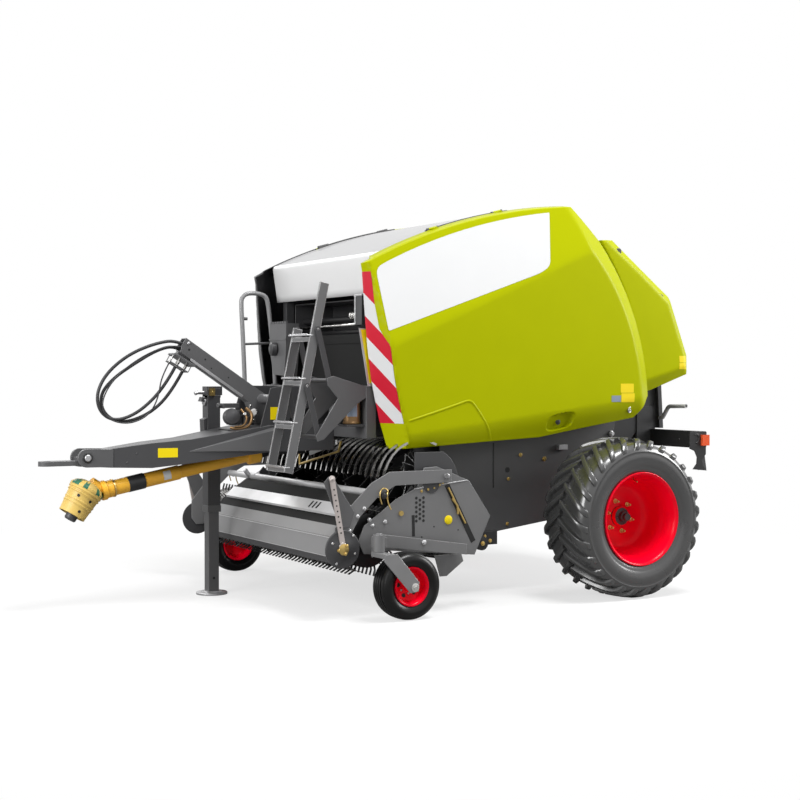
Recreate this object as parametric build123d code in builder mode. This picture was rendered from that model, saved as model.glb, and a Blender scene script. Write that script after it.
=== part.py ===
"""Round baler with fixed bale chamber, pickup with gauge wheels, drawbar and tailgate.

Frame in millimetres: +X points forward (travel), +Y to the left, +Z up.
The origin lies on the ground, below the middle of the whole machine.
Points of side outlines are (x, z).
"""
from build123d import *
from math import atan2, cos, degrees, hypot, pi, radians, sin, sqrt, tan
import os

os.makedirs("parts", exist_ok=True)

# Bale chamber
CHAMBER_X = -1280
CHAMBER_Z = 1560
ROLLER_CIRCLE = 705
ROLLER_RADIUS = 100
ROLLER_BORE = 86
FRONT_ROLLERS = (80, 60, 40, 20, 0, -20, -60, -80)
REAR_ROLLERS = (100, 120, 140, 160, 180, 200, 220, 240, 260)
WALL_IN = 610
WALL = 10
WALL_MARGIN = 30
SPLIT_X = -1330
SPLIT_GAP = 10
SEAT_GAP = 0.3

# Tailgate pivot
HINGE_X = -1405
HINGE_Z = 2400
HINGE_PIN = 22

# Half width of the top cover, which the doors and tailgate covers follow
LID_HALF = 745

# Side doors and tailgate covers
DOOR_IN = LID_HALF + 35
DOOR_OUT = LID_HALF + 230
PANEL = 9
SEAM_X = -212
SEAM_Z = 1261
SEAM_RADIUS = 1618
SEAM_GAP = 10
LEAN = 14
TUCK = 25
BEVEL_START = 1500
BEVEL_SLOPE = 0.644
COVER_IN = LID_HALF + 15
COVER_OUT = LID_HALF + 135

# Door hinge line, level with the ridge at its middle
DOOR_HINGE_Y = LID_HALF + 17
KNUCKLE = 10
KNUCKLE_LENGTH = 60
KNUCKLE_SPREAD = 260

# Top cover
LID_SHEET = 6
LID_REAR = -748
LID_GAP = 20
LID_SKIRT = 55

# Frame
AXLE_X = -1367
AXLE_Z = 530
AXLE_SIZE = 120
AXLE_HALF = 930
STUB_RADIUS = 38
SIDE_PLATE_Y = 715
BEAM_X = 325
BEAM_Z = 1370
BEAM_SIZE = 70
POST_X = 180
POST_SIZE = 60

# Main wheels
WHEEL_Y = 1185
TYRE_RADIUS = 530
TYRE_HALF = 222
RIM_RADIUS = 292
RIM_HALF = 215
RIM_LIP = 17
LUG_HEIGHT = 28
LUG_COUNT = 26

# Gauge wheels
GAUGE_X = 360
GAUGE_Y = 1257
GAUGE_RADIUS = 205
GAUGE_HALF = 80
GAUGE_RIM = 110
SWIVEL_X = 532
SWIVEL_Y = 1225
SWIVEL_PIN = 20
SLEEVE_LOW = 415
SLEEVE_TOP = 519

# Feed rotor
ROTOR_X = 80
ROTOR_Z = 800
ROTOR_RADIUS = 245
AUGER_RADIUS = 200
ROTOR_TUBE = 75
ROTOR_HALF = 1044.7
TROUGH_RADIUS = 270
SIDE_TROUGH = 225
TROUGH_SHEET = 8
STAR_COUNT = 27
STAR_PITCH = 76
STAR_TURN = 24

# Pickup
PICKUP_TUBE = (-120, 372)
REEL_X = 500
REEL_Z = 460
TINE_RADIUS = 237
TINE = 6
BAND_RADIUS = 195
BAND_PITCH = 66
BAND_WIDTH = 46
BAND_COUNT = 31
SHIELD_Y = 1084
SHIELD = 8
GUARD_X = -15
GUARD_Z = 845
GUARD_Y = 1104
GUARD_PLATE = 8

# Drawbar, hitch and power shaft
HITCH_X = 2235
HITCH_Z = 932
EYE_BORE = 25
PTO_BORE = 17.5

# Jack
JACK_X = 965
JACK_Y = -290
JACK_TUBE = 90

# Ladder
LADDER_LOW_Y = 475
LADDER_HIGH_Y = 735
RAIL_WIDE = 62
RAIL_THICK = 12
LADDER_TOP = (640, 2055)
LADDER_LOW = (893, 872)
LINK_LENGTH = 331
LINK_RISE = 76
LINK_UPPER = (614, 1443)
LINK_LOWER = (690, 1090)
LINK_EYE = 8
LINK_THICK = 8
LINK_SIDE_GAP = 5


def at_y(y):
    """Sketch plane facing the right side, at a distance to the left."""
    return Plane.XZ.offset(-y)


def write(name, shape):
    """Name a finished sub-part and store it."""
    shape.label = name
    export_step(shape, f"parts/{name}.step")


def plate(outline, y_low, y_high):
    """Flat plate in the side plane, between two distances to the left."""
    with BuildPart() as made:
        with BuildSketch(at_y(y_high)):
            Polygon(*outline, align=None)
        extrude(amount=y_high - y_low)
    return made.part


def cross_bar(x, z, radius, y_low, y_high):
    """Round bar across the machine."""
    with BuildPart() as made:
        with BuildSketch(at_y(y_high)):
            with Locations((x, z)):
                Circle(radius)
        extrude(amount=y_high - y_low)
    return made.part


def box(low, high):
    """Block between two corners."""
    size = [b - a for a, b in zip(low, high)]
    middle = [(a + b) / 2 for a, b in zip(low, high)]
    with BuildPart() as made:
        with Locations(tuple(middle)):
            Box(*size)
    return made.part


def flat_bar(start, end, width, y_low, y_high):
    """Flat bar with round ends between two points of the side plane."""
    run = hypot(end[0] - start[0], end[1] - start[1])
    turn = degrees(atan2(end[1] - start[1], end[0] - start[0]))
    middle = ((start[0] + end[0]) / 2, (start[1] + end[1]) / 2)
    with BuildPart() as made:
        with BuildSketch(at_y(y_high)):
            with Locations(Location((*middle, 0), (0, 0, turn))):
                SlotCenterToCenter(run, width)
        extrude(amount=y_high - y_low)
    return made.part


def rod(start, end, radius):
    """Round rod between two points in space."""
    path = Vector(*end) - Vector(*start)
    with BuildPart() as made:
        with BuildSketch(Plane(origin=start, z_dir=path)):
            Circle(radius)
        extrude(amount=path.length)
    return made.part


def joined(*shapes):
    """Several shapes fused into one sub-part."""
    with BuildPart() as made:
        add(shapes)
    return made.part


def cut_away(shape, *tools):
    """A shape with the tools taken out of it."""
    with BuildPart() as made:
        add(shape)
        add(tools, mode=Mode.SUBTRACT)
    return made.part


def mirrored(shape):
    """The same shape on the other side of the machine."""
    with BuildPart() as other:
        mirror(shape, about=Plane.XZ)
    return other.part


def both_sides(name, shape):
    """Store a left sub-part and its mirror image on the right."""
    write(f"{name}_left", shape)
    write(f"{name}_right", mirrored(shape))


# Ridge line that the doors and the top cover share
RIDGE_START = (330, 2236)
RIDGE_MIDDLE = (-385, 2503)
RIDGE_END = (-1172, 2631)
SLOPE_END = (-1405, 2400)


def circle_through(a, b, c):
    """Centre and radius of the circle through three points."""
    d = 2 * (a[0] * (b[1] - c[1]) + b[0] * (c[1] - a[1]) + c[0] * (a[1] - b[1]))
    squares = [p[0] ** 2 + p[1] ** 2 for p in (a, b, c)]
    x = squares[0] * (b[1] - c[1]) + squares[1] * (c[1] - a[1]) + squares[2] * (a[1] - b[1])
    z = squares[0] * (c[0] - b[0]) + squares[1] * (a[0] - c[0]) + squares[2] * (b[0] - a[0])
    centre = (x / d, z / d)
    return centre, hypot(a[0] - centre[0], a[1] - centre[1])


RIDGE_CENTRE, RIDGE_RADIUS = circle_through(RIDGE_START, RIDGE_MIDDLE, RIDGE_END)


def ridge(x, drop=0):
    """Point of the ridge line above x, lowered by drop."""
    height = sqrt(RIDGE_RADIUS**2 - (x - RIDGE_CENTRE[0]) ** 2)
    return (x, RIDGE_CENTRE[1] + height - drop)


# Main frame
SPLIT_TOP = CHAMBER_Z + ROLLER_CIRCLE + ROLLER_RADIUS + WALL_MARGIN
WALL_RADIUS = ROLLER_CIRCLE + ROLLER_RADIUS + WALL_MARGIN
AXLE_TOP = AXLE_Z + AXLE_SIZE / 2
AXLE_FRONT = AXLE_X + AXLE_SIZE / 2
WALL_FOOT = ((-445, 1330), (-60, 1120), (-60, 440), (-200, 425), (-536, 410), (-1072, 475))


def chamber_wall():
    """Inner side wall of the front half of the chamber."""
    with BuildPart() as wall:
        with BuildSketch(at_y(WALL_IN + WALL)):
            with BuildLine():
                ThreePointArc(
                    (CHAMBER_X, SPLIT_TOP),
                    (CHAMBER_X + WALL_RADIUS * cos(radians(45)), CHAMBER_Z + WALL_RADIUS * sin(radians(45))),
                    (CHAMBER_X + WALL_RADIUS, CHAMBER_Z),
                )
                Polyline(
                    (CHAMBER_X + WALL_RADIUS, CHAMBER_Z),
                    *WALL_FOOT,
                    (AXLE_FRONT, 503),
                    (AXLE_FRONT, AXLE_TOP),
                    (SPLIT_X, AXLE_TOP),
                    (SPLIT_X, SPLIT_TOP),
                    (CHAMBER_X, SPLIT_TOP),
                )
            make_face()
            with Locations((ROTOR_X, ROTOR_Z)):
                Circle(TROUGH_RADIUS + SEAT_GAP, mode=Mode.SUBTRACT)
        extrude(amount=WALL)
    return wall.part


both_sides("chamber_wall", chamber_wall())

PLATE_OUTLINE = (
    (-215, 1230),
    (-215, 520),
    (-300, 440),
    (-536, 410),
    (-1072, 475),
    (AXLE_FRONT, 503),
    (AXLE_FRONT, AXLE_TOP),
    (-1430, AXLE_TOP),
    (-1600, 800),
    (-1700, 1230),
)
SPACERS = ((-400, 1100), (-400, 600), (-1100, 1100), (-1100, 650))


def side_plate():
    """Outer side plate above and ahead of the axle, with its spacer tubes."""
    spacers = [cross_bar(x, z, 20, WALL_IN + WALL, SIDE_PLATE_Y) for x, z in SPACERS]
    return joined(plate(PLATE_OUTLINE, SIDE_PLATE_Y, SIDE_PLATE_Y + WALL), *spacers)


both_sides("side_plate", side_plate())


def axle_beam():
    """Square axle tube with stub axles."""
    half = AXLE_SIZE / 2
    tube = box((AXLE_X - half, -AXLE_HALF, AXLE_Z - half), (AXLE_X + half, AXLE_HALF, AXLE_Z + half))
    stub = cross_bar(AXLE_X, AXLE_Z, STUB_RADIUS, AXLE_HALF, WHEEL_Y - 65)
    return joined(tube, stub, mirrored(stub))


write("axle_beam", axle_beam())


LOWER_BEAM_Z = 1110
BEAM_FRONT = BEAM_X + BEAM_SIZE / 2
BEAM_REAR = BEAM_X - BEAM_SIZE / 2
BEAM_TOP = BEAM_Z + BEAM_SIZE / 2
BEAM_LOW = BEAM_Z - BEAM_SIZE / 2
BEAM_END = DOOR_IN - 15
DECK = 8


def ladder_bracket(y_low, y_high):
    """Forked plate that carries the two ladder links on one side."""
    return plate(
        (
            (BEAM_FRONT, BEAM_TOP), (LINK_UPPER[0] - 20, LINK_UPPER[1] + 28), (LINK_UPPER[0] + 24, LINK_UPPER[1] + 14),
            (LINK_UPPER[0] + 18, LINK_UPPER[1] - 30), (560, 1330), (LINK_LOWER[0] + 24, LINK_LOWER[1] + 10),
            (LINK_LOWER[0] + 14, LINK_LOWER[1] - 26), (LINK_LOWER[0] - 30, LINK_LOWER[1] - 14), (430, 1290),
            (BEAM_FRONT, BEAM_LOW),
        ),
        y_low,
        y_high,
    )


def front_frame():
    """Upper and lower cross beams, posts, platform deck, webs and ladder brackets."""
    half = BEAM_SIZE / 2
    upper = box((BEAM_REAR, -BEAM_END, BEAM_LOW), (BEAM_FRONT, BEAM_END, BEAM_TOP))
    lower = box((BEAM_REAR, -BEAM_END, LOWER_BEAM_Z - half), (BEAM_FRONT, BEAM_END, LOWER_BEAM_Z + half))
    deck = box((-300, -700, BEAM_TOP - DECK), (BEAM_REAR, 700, BEAM_TOP))
    pieces = [upper, lower, deck]
    for y in (290, BEAM_END - 30):
        post = box((BEAM_REAR, y - 30, LOWER_BEAM_Z), (BEAM_FRONT, y + 30, BEAM_Z))
        pieces += [post, mirrored(post)]
    web = plate(
        ((-300, BEAM_TOP), (-300, 1255), (-60, 1121), (BEAM_REAR, LOWER_BEAM_Z - half), (BEAM_REAR, BEAM_TOP)),
        WALL_IN + WALL,
        WALL_IN + WALL + 10,
    )
    pieces += [web, mirrored(web)]
    pin_top = LADDER_HIGH_Y + LINK_SIDE_GAP
    pin_low = LADDER_LOW_Y - LINK_SIDE_GAP
    plate_gap = LINK_THICK + LINK_SIDE_GAP
    pieces.append(ladder_bracket(pin_top + plate_gap, pin_top + plate_gap + 8))
    pieces.append(ladder_bracket(pin_low - plate_gap - 8, pin_low - plate_gap))
    for x, z in (LINK_UPPER, LINK_LOWER):
        pieces.append(cross_bar(x, z, LINK_EYE, pin_top, pin_top + plate_gap))
        pieces.append(cross_bar(x, z, LINK_EYE, pin_low - plate_gap, pin_low))
    return joined(*pieces)


write("front_frame", front_frame())

RAIL_DROPS = ((-385, 105), (-900, 110))
RAIL_REAR = (-1320, 2475)
RAIL_TOP = (ridge(POST_X + POST_SIZE / 2, 130), *[ridge(x, drop) for x, drop in RAIL_DROPS], RAIL_REAR)
RAIL_DEPTH = 60
RAIL_IN = LID_HALF - 70
RAIL_OUT = LID_HALF - 15
RIDGE_TURN = atan2(RIDGE_MIDDLE[0] - RIDGE_CENTRE[0], RIDGE_MIDDLE[1] - RIDGE_CENTRE[1])
RIDGE_WAY = Vector(cos(RIDGE_TURN), 0, -sin(RIDGE_TURN))
DOOR_PIN = 5
DOOR_AXIS_DROP = 8
DOOR_AXIS = Vector(RIDGE_MIDDLE[0], DOOR_HINGE_Y, RIDGE_MIDDLE[1] - DOOR_AXIS_DROP)
LUG_THICK = 14
LID_PIN = (-756, ridge(-756, 14)[1])
LID_LUG_Y = 500


def across_hinge(along):
    """Sketch plane across the door's hinge line; x points outward, y up."""
    return Plane(origin=DOOR_AXIS + RIDGE_WAY * along, x_dir=(0, 1, 0), z_dir=RIDGE_WAY)


def hinge_lugs():
    """Lugs and pins of one door's hinges, standing on the top rail."""
    with BuildPart() as lugs:
        for centre in (-KNUCKLE_SPREAD, KNUCKLE_SPREAD):
            for near in (centre - KNUCKLE_LENGTH / 2 - LUG_THICK - SEAT_GAP, centre + KNUCKLE_LENGTH / 2 + SEAT_GAP):
                with BuildSketch(across_hinge(near)):
                    Circle(KNUCKLE)
                    Polygon((-KNUCKLE, 0), (KNUCKLE, 0), (KNUCKLE, -75), (-40, -125), (-80, -125), (-KNUCKLE, -70), align=None)
                extrude(amount=LUG_THICK)
            with BuildSketch(across_hinge(centre - KNUCKLE_LENGTH / 2 - SEAT_GAP)):
                Circle(DOOR_PIN)
            extrude(amount=KNUCKLE_LENGTH + 2 * SEAT_GAP)
    return lugs.part


def lid_lugs(y):
    """Pair of lugs with the pin of one lid hinge."""
    x, z = LID_PIN
    lug = plate(((x - 12, z - 80), (x - 12, z), (x + 12, z), (x + 12, z - 80)), y - 20, y - 10)
    return joined(lug, plate(((x - 12, z - 80), (x - 12, z), (x + 12, z), (x + 12, z - 80)), y + 10, y + 20),
                  cross_bar(x, z, 5, y - 10, y + 10))


def top_frame():
    """Top rails on posts, joined across, with the hinge lugs of doors, lid and tailgate."""
    low = [(x, z - RAIL_DEPTH) for x, z in reversed(RAIL_TOP)]
    rail = plate((*RAIL_TOP, *low), RAIL_IN, RAIL_OUT)
    post_top = RAIL_TOP[0][1] - RAIL_DEPTH / 2
    post = box((POST_X - POST_SIZE / 2, RAIL_IN, BEAM_TOP), (POST_X + POST_SIZE / 2, RAIL_OUT, post_top))
    ear = plate(
        ((-1435, 2370), (-1435, 2430), (SPLIT_X, 2470), (SPLIT_X + 50, 2470), (SPLIT_X + 50, 2400), (-1380, 2365)),
        WALL_IN + WALL + 5,
        WALL_IN + WALL + 17,
    )
    pin = cross_bar(HINGE_X, HINGE_Z, HINGE_PIN, WALL_IN, WALL_IN + WALL + 5)
    side = joined(rail, post, ear, pin, hinge_lugs(), lid_lugs(LID_LUG_Y))
    pieces = [side, mirrored(side)]
    for x, drop in (RAIL_DROPS[0], (-756, 110)):
        top = ridge(x, drop - 20)[1]
        pieces.append(box((x - 25, -RAIL_IN, top - 50), (x + 25, RAIL_IN, top)))
    pieces.append(box((SPLIT_X, -RAIL_IN, SPLIT_TOP), (SPLIT_X + 60, RAIL_IN, 2450)))
    return joined(*pieces)


write("top_frame", top_frame())


def rollers(angles, end):
    """Ribbed chamber rollers at the given angles round the chamber."""
    with BuildPart() as made:
        for angle in angles:
            x = CHAMBER_X + ROLLER_CIRCLE * cos(radians(angle))
            z = CHAMBER_Z + ROLLER_CIRCLE * sin(radians(angle))
            with BuildSketch(at_y(end)):
                with Locations((x, z)):
                    RegularPolygon(ROLLER_RADIUS, 10)
                    Circle(ROLLER_BORE, mode=Mode.SUBTRACT)
            extrude(amount=2 * end)
    return made.part


write("front_rollers", rollers(FRONT_ROLLERS, WALL_IN))


def trough_sector(start, stop, inner, outer, y_low, y_high):
    """Curved sheet round the rotor between two angles."""
    sweep_turn = stop - start
    with BuildPart() as made:
        with BuildSketch(at_y(y_high)):
            with BuildLine():
                CenterArc((ROTOR_X, ROTOR_Z), outer, start, sweep_turn)
                CenterArc((ROTOR_X, ROTOR_Z), inner, start, sweep_turn)
                for angle in (start, stop):
                    way = (cos(radians(angle)), sin(radians(angle)))
                    Line(
                        (ROTOR_X + inner * way[0], ROTOR_Z + inner * way[1]),
                        (ROTOR_X + outer * way[0], ROTOR_Z + outer * way[1]),
                    )
            make_face()
        extrude(amount=y_high - y_low)
    return made.part


BEARING_Y = 1045
BEARING_RADIUS = 60


def feed_trough():
    """Trough below the rotor between the walls, with the floor behind it."""
    middle = trough_sector(225, 285, TROUGH_RADIUS - TROUGH_SHEET, TROUGH_RADIUS, -WALL_IN, WALL_IN)
    floor = plate(((-108, 615), (-104, 604), (-790, 897), (-790, 905)), -WALL_IN, WALL_IN)
    return joined(middle, floor)


write("feed_trough", feed_trough())


def auger_trough():
    """Trough of one auger outside the wall, with its end plate and pickup bearing."""
    wall_out = WALL_IN + WALL
    end_plate = cut_away(
        cross_bar(ROTOR_X, ROTOR_Z, SIDE_TROUGH, BEARING_Y, BEARING_Y + 10),
        box((ROTOR_X + 95, BEARING_Y - 1, 0), (ROTOR_X + 400, BEARING_Y + 12, 2000)),
        box((ROTOR_X - 400, BEARING_Y - 1, 995), (ROTOR_X + 400, BEARING_Y + 12, 2000)),
    )
    return joined(
        trough_sector(130, 285, SIDE_TROUGH - TROUGH_SHEET, SIDE_TROUGH, wall_out, BEARING_Y),
        trough_sector(130, 285, SIDE_TROUGH - TROUGH_SHEET, TROUGH_RADIUS + 22, wall_out, wall_out + 6),
        end_plate,
        cross_bar(ROTOR_X, ROTOR_Z, BEARING_RADIUS, BEARING_Y + 10, GUARD_Y - 8),
    )


both_sides("auger_trough", auger_trough())

# Drawbar: a welded channel that narrows and drops towards the eye
DRAWBAR_TOP = ((2001, 968), (1794, 1017), (1545, 1048), (1299, 1068), (780, 1150), (BEAM_FRONT, 1150))
DRAWBAR_LOW = ((BEAM_FRONT, 985), (780, 978), (1299, 915), (1545, 891), (1794, 899), (2001, 912))
DRAWBAR_PLAN = ((2010, 60), (1794, 75), (780, 250), (BEAM_FRONT, 330))
CHANNEL_HALF = 105
CHANNEL_FRONT = 1250
CHANNEL_TOP = 1118
NECK = (450, 680, 95)
NECK_LOW = 950
GUSSET_Y = 234


def drawbar_half(x):
    """Half width of the drawbar at x, between its second and third plan points."""
    (x1, y1), (x2, y2) = DRAWBAR_PLAN[1:3]
    return y1 + (y2 - y1) * (x1 - x) / (x1 - x2)


def drawbar():
    """Drawbar, widening towards the machine, open below for the shaft and gearbox."""
    with BuildPart() as bar:
        with BuildSketch(at_y(400)):
            Polygon(*DRAWBAR_TOP, *DRAWBAR_LOW, align=None)
        extrude(amount=800)
        with BuildSketch(Plane.XY.offset(800)):
            Polygon(*DRAWBAR_PLAN, *[(x, -y) for x, y in reversed(DRAWBAR_PLAN)], align=None)
        extrude(amount=500, mode=Mode.INTERSECT)
    gusset = plate(
        ((850, 1130), (775, 1392), (700, 1405), (BEAM_FRONT, 1400), (BEAM_FRONT, 1340), (640, 1190), (600, 1130)),
        GUSSET_Y - 8,
        GUSSET_Y,
    )
    return cut_away(
        joined(bar.part, gusset, mirrored(gusset)),
        box((BEAM_FRONT, -CHANNEL_HALF, 800), (1000, CHANNEL_HALF, CHANNEL_TOP)),
        plate(((1000, 800), (1000, CHANNEL_TOP), (CHANNEL_FRONT, 950), (CHANNEL_FRONT, 800)), -CHANNEL_HALF, CHANNEL_HALF),
        box((NECK[0] - 5, -NECK[2] - 5, 1000), (NECK[1] + 5, NECK[2] + 5, 1400)),
    )


write("drawbar", drawbar())


def hitch_eye():
    """Flat hitch tongue with its eye, held by the drawbar's jaw."""
    with BuildPart() as eye:
        with BuildSketch(Plane.XY.offset(HITCH_Z - 15)):
            with BuildLine():
                Polyline((2180, 50), (2001, 55), (2001, -55), (2180, -50))
                ThreePointArc((2180, -50), (HITCH_X, 0), (2180, 50))
            make_face()
            with Locations((2180, 0)):
                Circle(EYE_BORE, mode=Mode.SUBTRACT)
        extrude(amount=30)
    return eye.part


write("hitch_eye", hitch_eye())


PTO_FRONT = Vector(1841, 0, 751)
PTO_REAR = Vector(752, 0, 958)
PTO_WAY = (PTO_REAR - PTO_FRONT).normalized()


def gearbox():
    """Gearbox hanging in the drawbar, with input stub and valve block on top."""
    lower = box((NECK[0], -NECK[2], NECK_LOW), (NECK[1], NECK[2], 1150))
    upper = box((NECK[0] - 20, -160, 1150), (NECK[1] + 30, 160, 1310))
    with BuildPart() as stub:
        with BuildSketch(Plane(origin=PTO_REAR, z_dir=PTO_WAY)):
            Circle(36)
        extrude(amount=110)
    side = cross_bar(560, 1230, 60, -220, -160)
    return joined(lower, upper, stub.part, side)


write("gearbox", gearbox())


def pto_shaft():
    """Guarded telescopic shaft with a collar at its front."""
    length = (PTO_REAR - PTO_FRONT).length
    with BuildPart() as shaft:
        for start, stop, radius in ((0, 60, 64), (60, 600, 48), (600, length - 80, 41), (length - 80, length, 62)):
            with BuildSketch(Plane(origin=PTO_FRONT + PTO_WAY * start, z_dir=PTO_WAY)):
                Circle(radius)
            extrude(amount=stop - start)
    return shaft.part


write("pto_shaft", pto_shaft())

JOINT_REACH = 45
CONE_WAY = Vector(117, 0, -190).normalized()
CONE_LENGTH = 175


def pto_yoke():
    """Hanging front joint with its guard cone and splined bore."""
    centre = PTO_FRONT - PTO_WAY * JOINT_REACH
    with BuildPart() as yoke:
        with BuildSketch(Plane(origin=PTO_FRONT, z_dir=-PTO_WAY)):
            Circle(28)
        extrude(amount=JOINT_REACH)
        with Locations(Location(centre)):
            Sphere(42)
        with BuildSketch(Plane(origin=centre + CONE_WAY * 25, z_dir=CONE_WAY)):
            Circle(66)
        with BuildSketch(Plane(origin=centre + CONE_WAY * CONE_LENGTH, z_dir=CONE_WAY)):
            Circle(90)
        loft()
        with BuildSketch(Plane(origin=centre + CONE_WAY * CONE_LENGTH, z_dir=CONE_WAY)):
            Circle(36)
        extrude(amount=25)
        with BuildSketch(Plane(origin=centre + CONE_WAY * (CONE_LENGTH + 25), z_dir=CONE_WAY)):
            Circle(PTO_BORE)
        extrude(amount=-80, mode=Mode.SUBTRACT)
    return yoke.part


write("pto_yoke", pto_yoke())

JACK_TOP = 1340
JACK_SLEEVE_LOW = 560
JACK_FOOT = 12
JACK_LEG_TOP = 890


def jack_sleeve():
    """Square outer jack tube with its mounting plate and crank box."""
    half = JACK_TUBE / 2
    tube = cut_away(
        box((JACK_X - half, JACK_Y - half, JACK_SLEEVE_LOW), (JACK_X + half, JACK_Y + half, JACK_TOP)),
        box((JACK_X - half + 8, JACK_Y - half + 8, 500), (JACK_X + half - 8, JACK_Y + half - 8, JACK_TOP - 40)),
    )
    with BuildPart() as mount:
        with BuildSketch(Plane.XY.offset(1000)):
            Polygon(
                (JACK_X - 60, JACK_Y + half), (JACK_X + 60, JACK_Y + half),
                (JACK_X + 60, -drawbar_half(JACK_X + 60)), (JACK_X - 60, -drawbar_half(JACK_X - 60)),
                align=None,
            )
        extrude(amount=100)
    crank = box((JACK_X - 62, JACK_Y - 40, JACK_TOP), (JACK_X + 48, JACK_Y + 40, JACK_TOP + 60))
    return joined(tube, mount.part, crank)


write("jack_sleeve", jack_sleeve())


def jack_leg():
    """Sliding jack leg with its foot plate."""
    half = JACK_TUBE / 2 - 8 - SEAT_GAP
    leg = box((JACK_X - half, JACK_Y - half, JACK_FOOT), (JACK_X + half, JACK_Y + half, JACK_LEG_TOP))
    with BuildPart() as foot:
        with BuildSketch(Plane.XY):
            with Locations((JACK_X, JACK_Y)):
                Circle(105)
        extrude(amount=JACK_FOOT)
    return joined(leg, foot.part)


write("jack_leg", jack_leg())

ARM_OUTLINE = ((780, 1150), (716, 1150), (716, 1345), (1279, 1716), (1310, 1667), (1320, 1625), (840, 1300))
ARM_TIP = (1299.5, 1670.5)
ARM_HALF = 38
ARM_WALL = 5
ARM_WAY = Vector(0.839, 0, 0.544)
POCKET = 104
POCKET_HIGH = 84
RACK_TIP = (1361, 1619)
RACK_TURN = 30
RACK_HALF = 60
RACK_LENGTH = 160
RACK_DROP = 58
COUPLING_END = 66
COUPLINGS = ((60, 8, 14), (125, -14, 9), (5, 26, 6))


def on_rack(shape):
    """Move a shape from the rack's frame, back along its plate and up, to the arm's tip."""
    plane = Plane(
        origin=(RACK_TIP[0], 0, RACK_TIP[1]),
        x_dir=(-cos(radians(RACK_TURN)), 0, -sin(radians(RACK_TURN))),
        z_dir=(-sin(radians(RACK_TURN)), 0, cos(radians(RACK_TURN))),
    )
    return plane.location * shape




def hose_arm():
    """Box arm that carries the hoses, open at its tip, with the coupler rack under it."""
    arm = plate(ARM_OUTLINE, -ARM_HALF, ARM_HALF)
    tip = Vector(ARM_TIP[0], 0, ARM_TIP[1])
    with BuildPart() as pocket:
        with BuildSketch(Plane(origin=tip - ARM_WAY * POCKET, x_dir=(0, 1, 0), z_dir=ARM_WAY)):
            Rectangle(2 * (ARM_HALF - ARM_WALL), POCKET_HIGH)
        extrude(amount=POCKET + 40)
    base = cross_bar(745, 1320, 30, -GUSSET_Y + 8, GUSSET_Y - 8)
    rack_plate = box((0, -RACK_HALF, -12), (RACK_LENGTH, RACK_HALF, 0))
    strip = box((0, -RACK_HALF + 20, -RACK_DROP - 5), (RACK_LENGTH - 15, RACK_HALF - 20, -RACK_DROP))
    web = box((25, -20, -6), (135, 20, 34))
    pieces = [rack_plate, strip, web]
    for s in (3, RACK_LENGTH - 19):
        pieces.append(box((s, -RACK_HALF + 20, -RACK_DROP), (s + 4, -RACK_HALF + 26, -12)))
        pieces.append(box((s, RACK_HALF - 26, -RACK_DROP), (s + 4, RACK_HALF - 20, -12)))
    rack = cut_away(
        joined(*pieces),
        *[
            Pos(along, -y, -RACK_DROP) * Cylinder(radius + SEAT_GAP, 30)
            for along, y, radius in COUPLINGS
        ],
    )
    return joined(cut_away(joined(arm, on_rack(rack)), pocket.part), base)


write("hose_arm", hose_arm())


def hose_couplings():
    """Quick couplings parked in the rack, one at the end of each hose."""
    pieces = []
    for along, y, radius in COUPLINGS:
        pieces.append(Pos(along, -y, -12 - (COUPLING_END - 12) / 2) * Cylinder(radius, COUPLING_END - 12))
    return on_rack(joined(*pieces))


write("hose_couplings", hose_couplings())

# Hoses: from inside the arm, round the front loop and back to the couplings
HOSE_LEFT_Y = 8
HOSE_RIGHT_Y = -14
CABLE_Y = 26
HOSE_RADIUS = 10.5
CABLE_RADIUS = 4.5
HOSE_LEFT = (
    (1202, 1629), (1318, 1704), (1480, 1680), (1660, 1606), (1800, 1492), (1866, 1370), (1855, 1262), (1785, 1198),
    (1688, 1198), (1560, 1262), (1417, 1402), (1342, 1532),
)
HOSE_RIGHT = (
    (1221, 1600), (1325, 1668), (1455, 1640), (1610, 1550), (1745, 1462), (1834, 1362), (1826, 1258), (1758, 1192),
    (1652, 1178), (1490, 1242), (1361, 1369), (1286, 1499),
)
CABLE = (
    (1214, 1612), (1290, 1661), (1400, 1662), (1510, 1625), (1620, 1565), (1720, 1490), (1800, 1400), (1842, 1300),
    (1815, 1215), (1740, 1178), (1650, 1172), (1560, 1205), (1500, 1262), (1462, 1352), (1445, 1464), (1390, 1559),
)


def hose(points, y, radius):
    """Hose through the points of its route, straight runs joined by the widest arcs that fit."""
    radii = []
    for a, b, c in zip(points, points[1:], points[2:]):
        run_in = Vector(b[0] - a[0], b[1] - a[1])
        run_out = Vector(c[0] - b[0], c[1] - b[1])
        turn = radians(run_in.get_angle(run_out))
        radii.append(0.45 * min(run_in.length, run_out.length) / tan(turn / 2))
    print("hose radii", [round(r) for r in radii])
    with BuildPart() as made:
        with BuildLine(at_y(y)):
            route = FilletPolyline(*points, radius=radii)
        with BuildSketch(Plane(origin=route @ 0, z_dir=route % 0)):
            Circle(radius)
        sweep()
    print("hose length", round(route.length), "volume over section", round(made.part.volume / (pi * radius**2)))
    return made.part


write("hose_left", hose(HOSE_LEFT, HOSE_LEFT_Y, HOSE_RADIUS))
write("hose_right", hose(HOSE_RIGHT, HOSE_RIGHT_Y, HOSE_RADIUS))
write("hose_cable", hose(CABLE, CABLE_Y, CABLE_RADIUS))

HANDRAIL_TUBE = 16
RAIL_Y = -700


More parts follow.
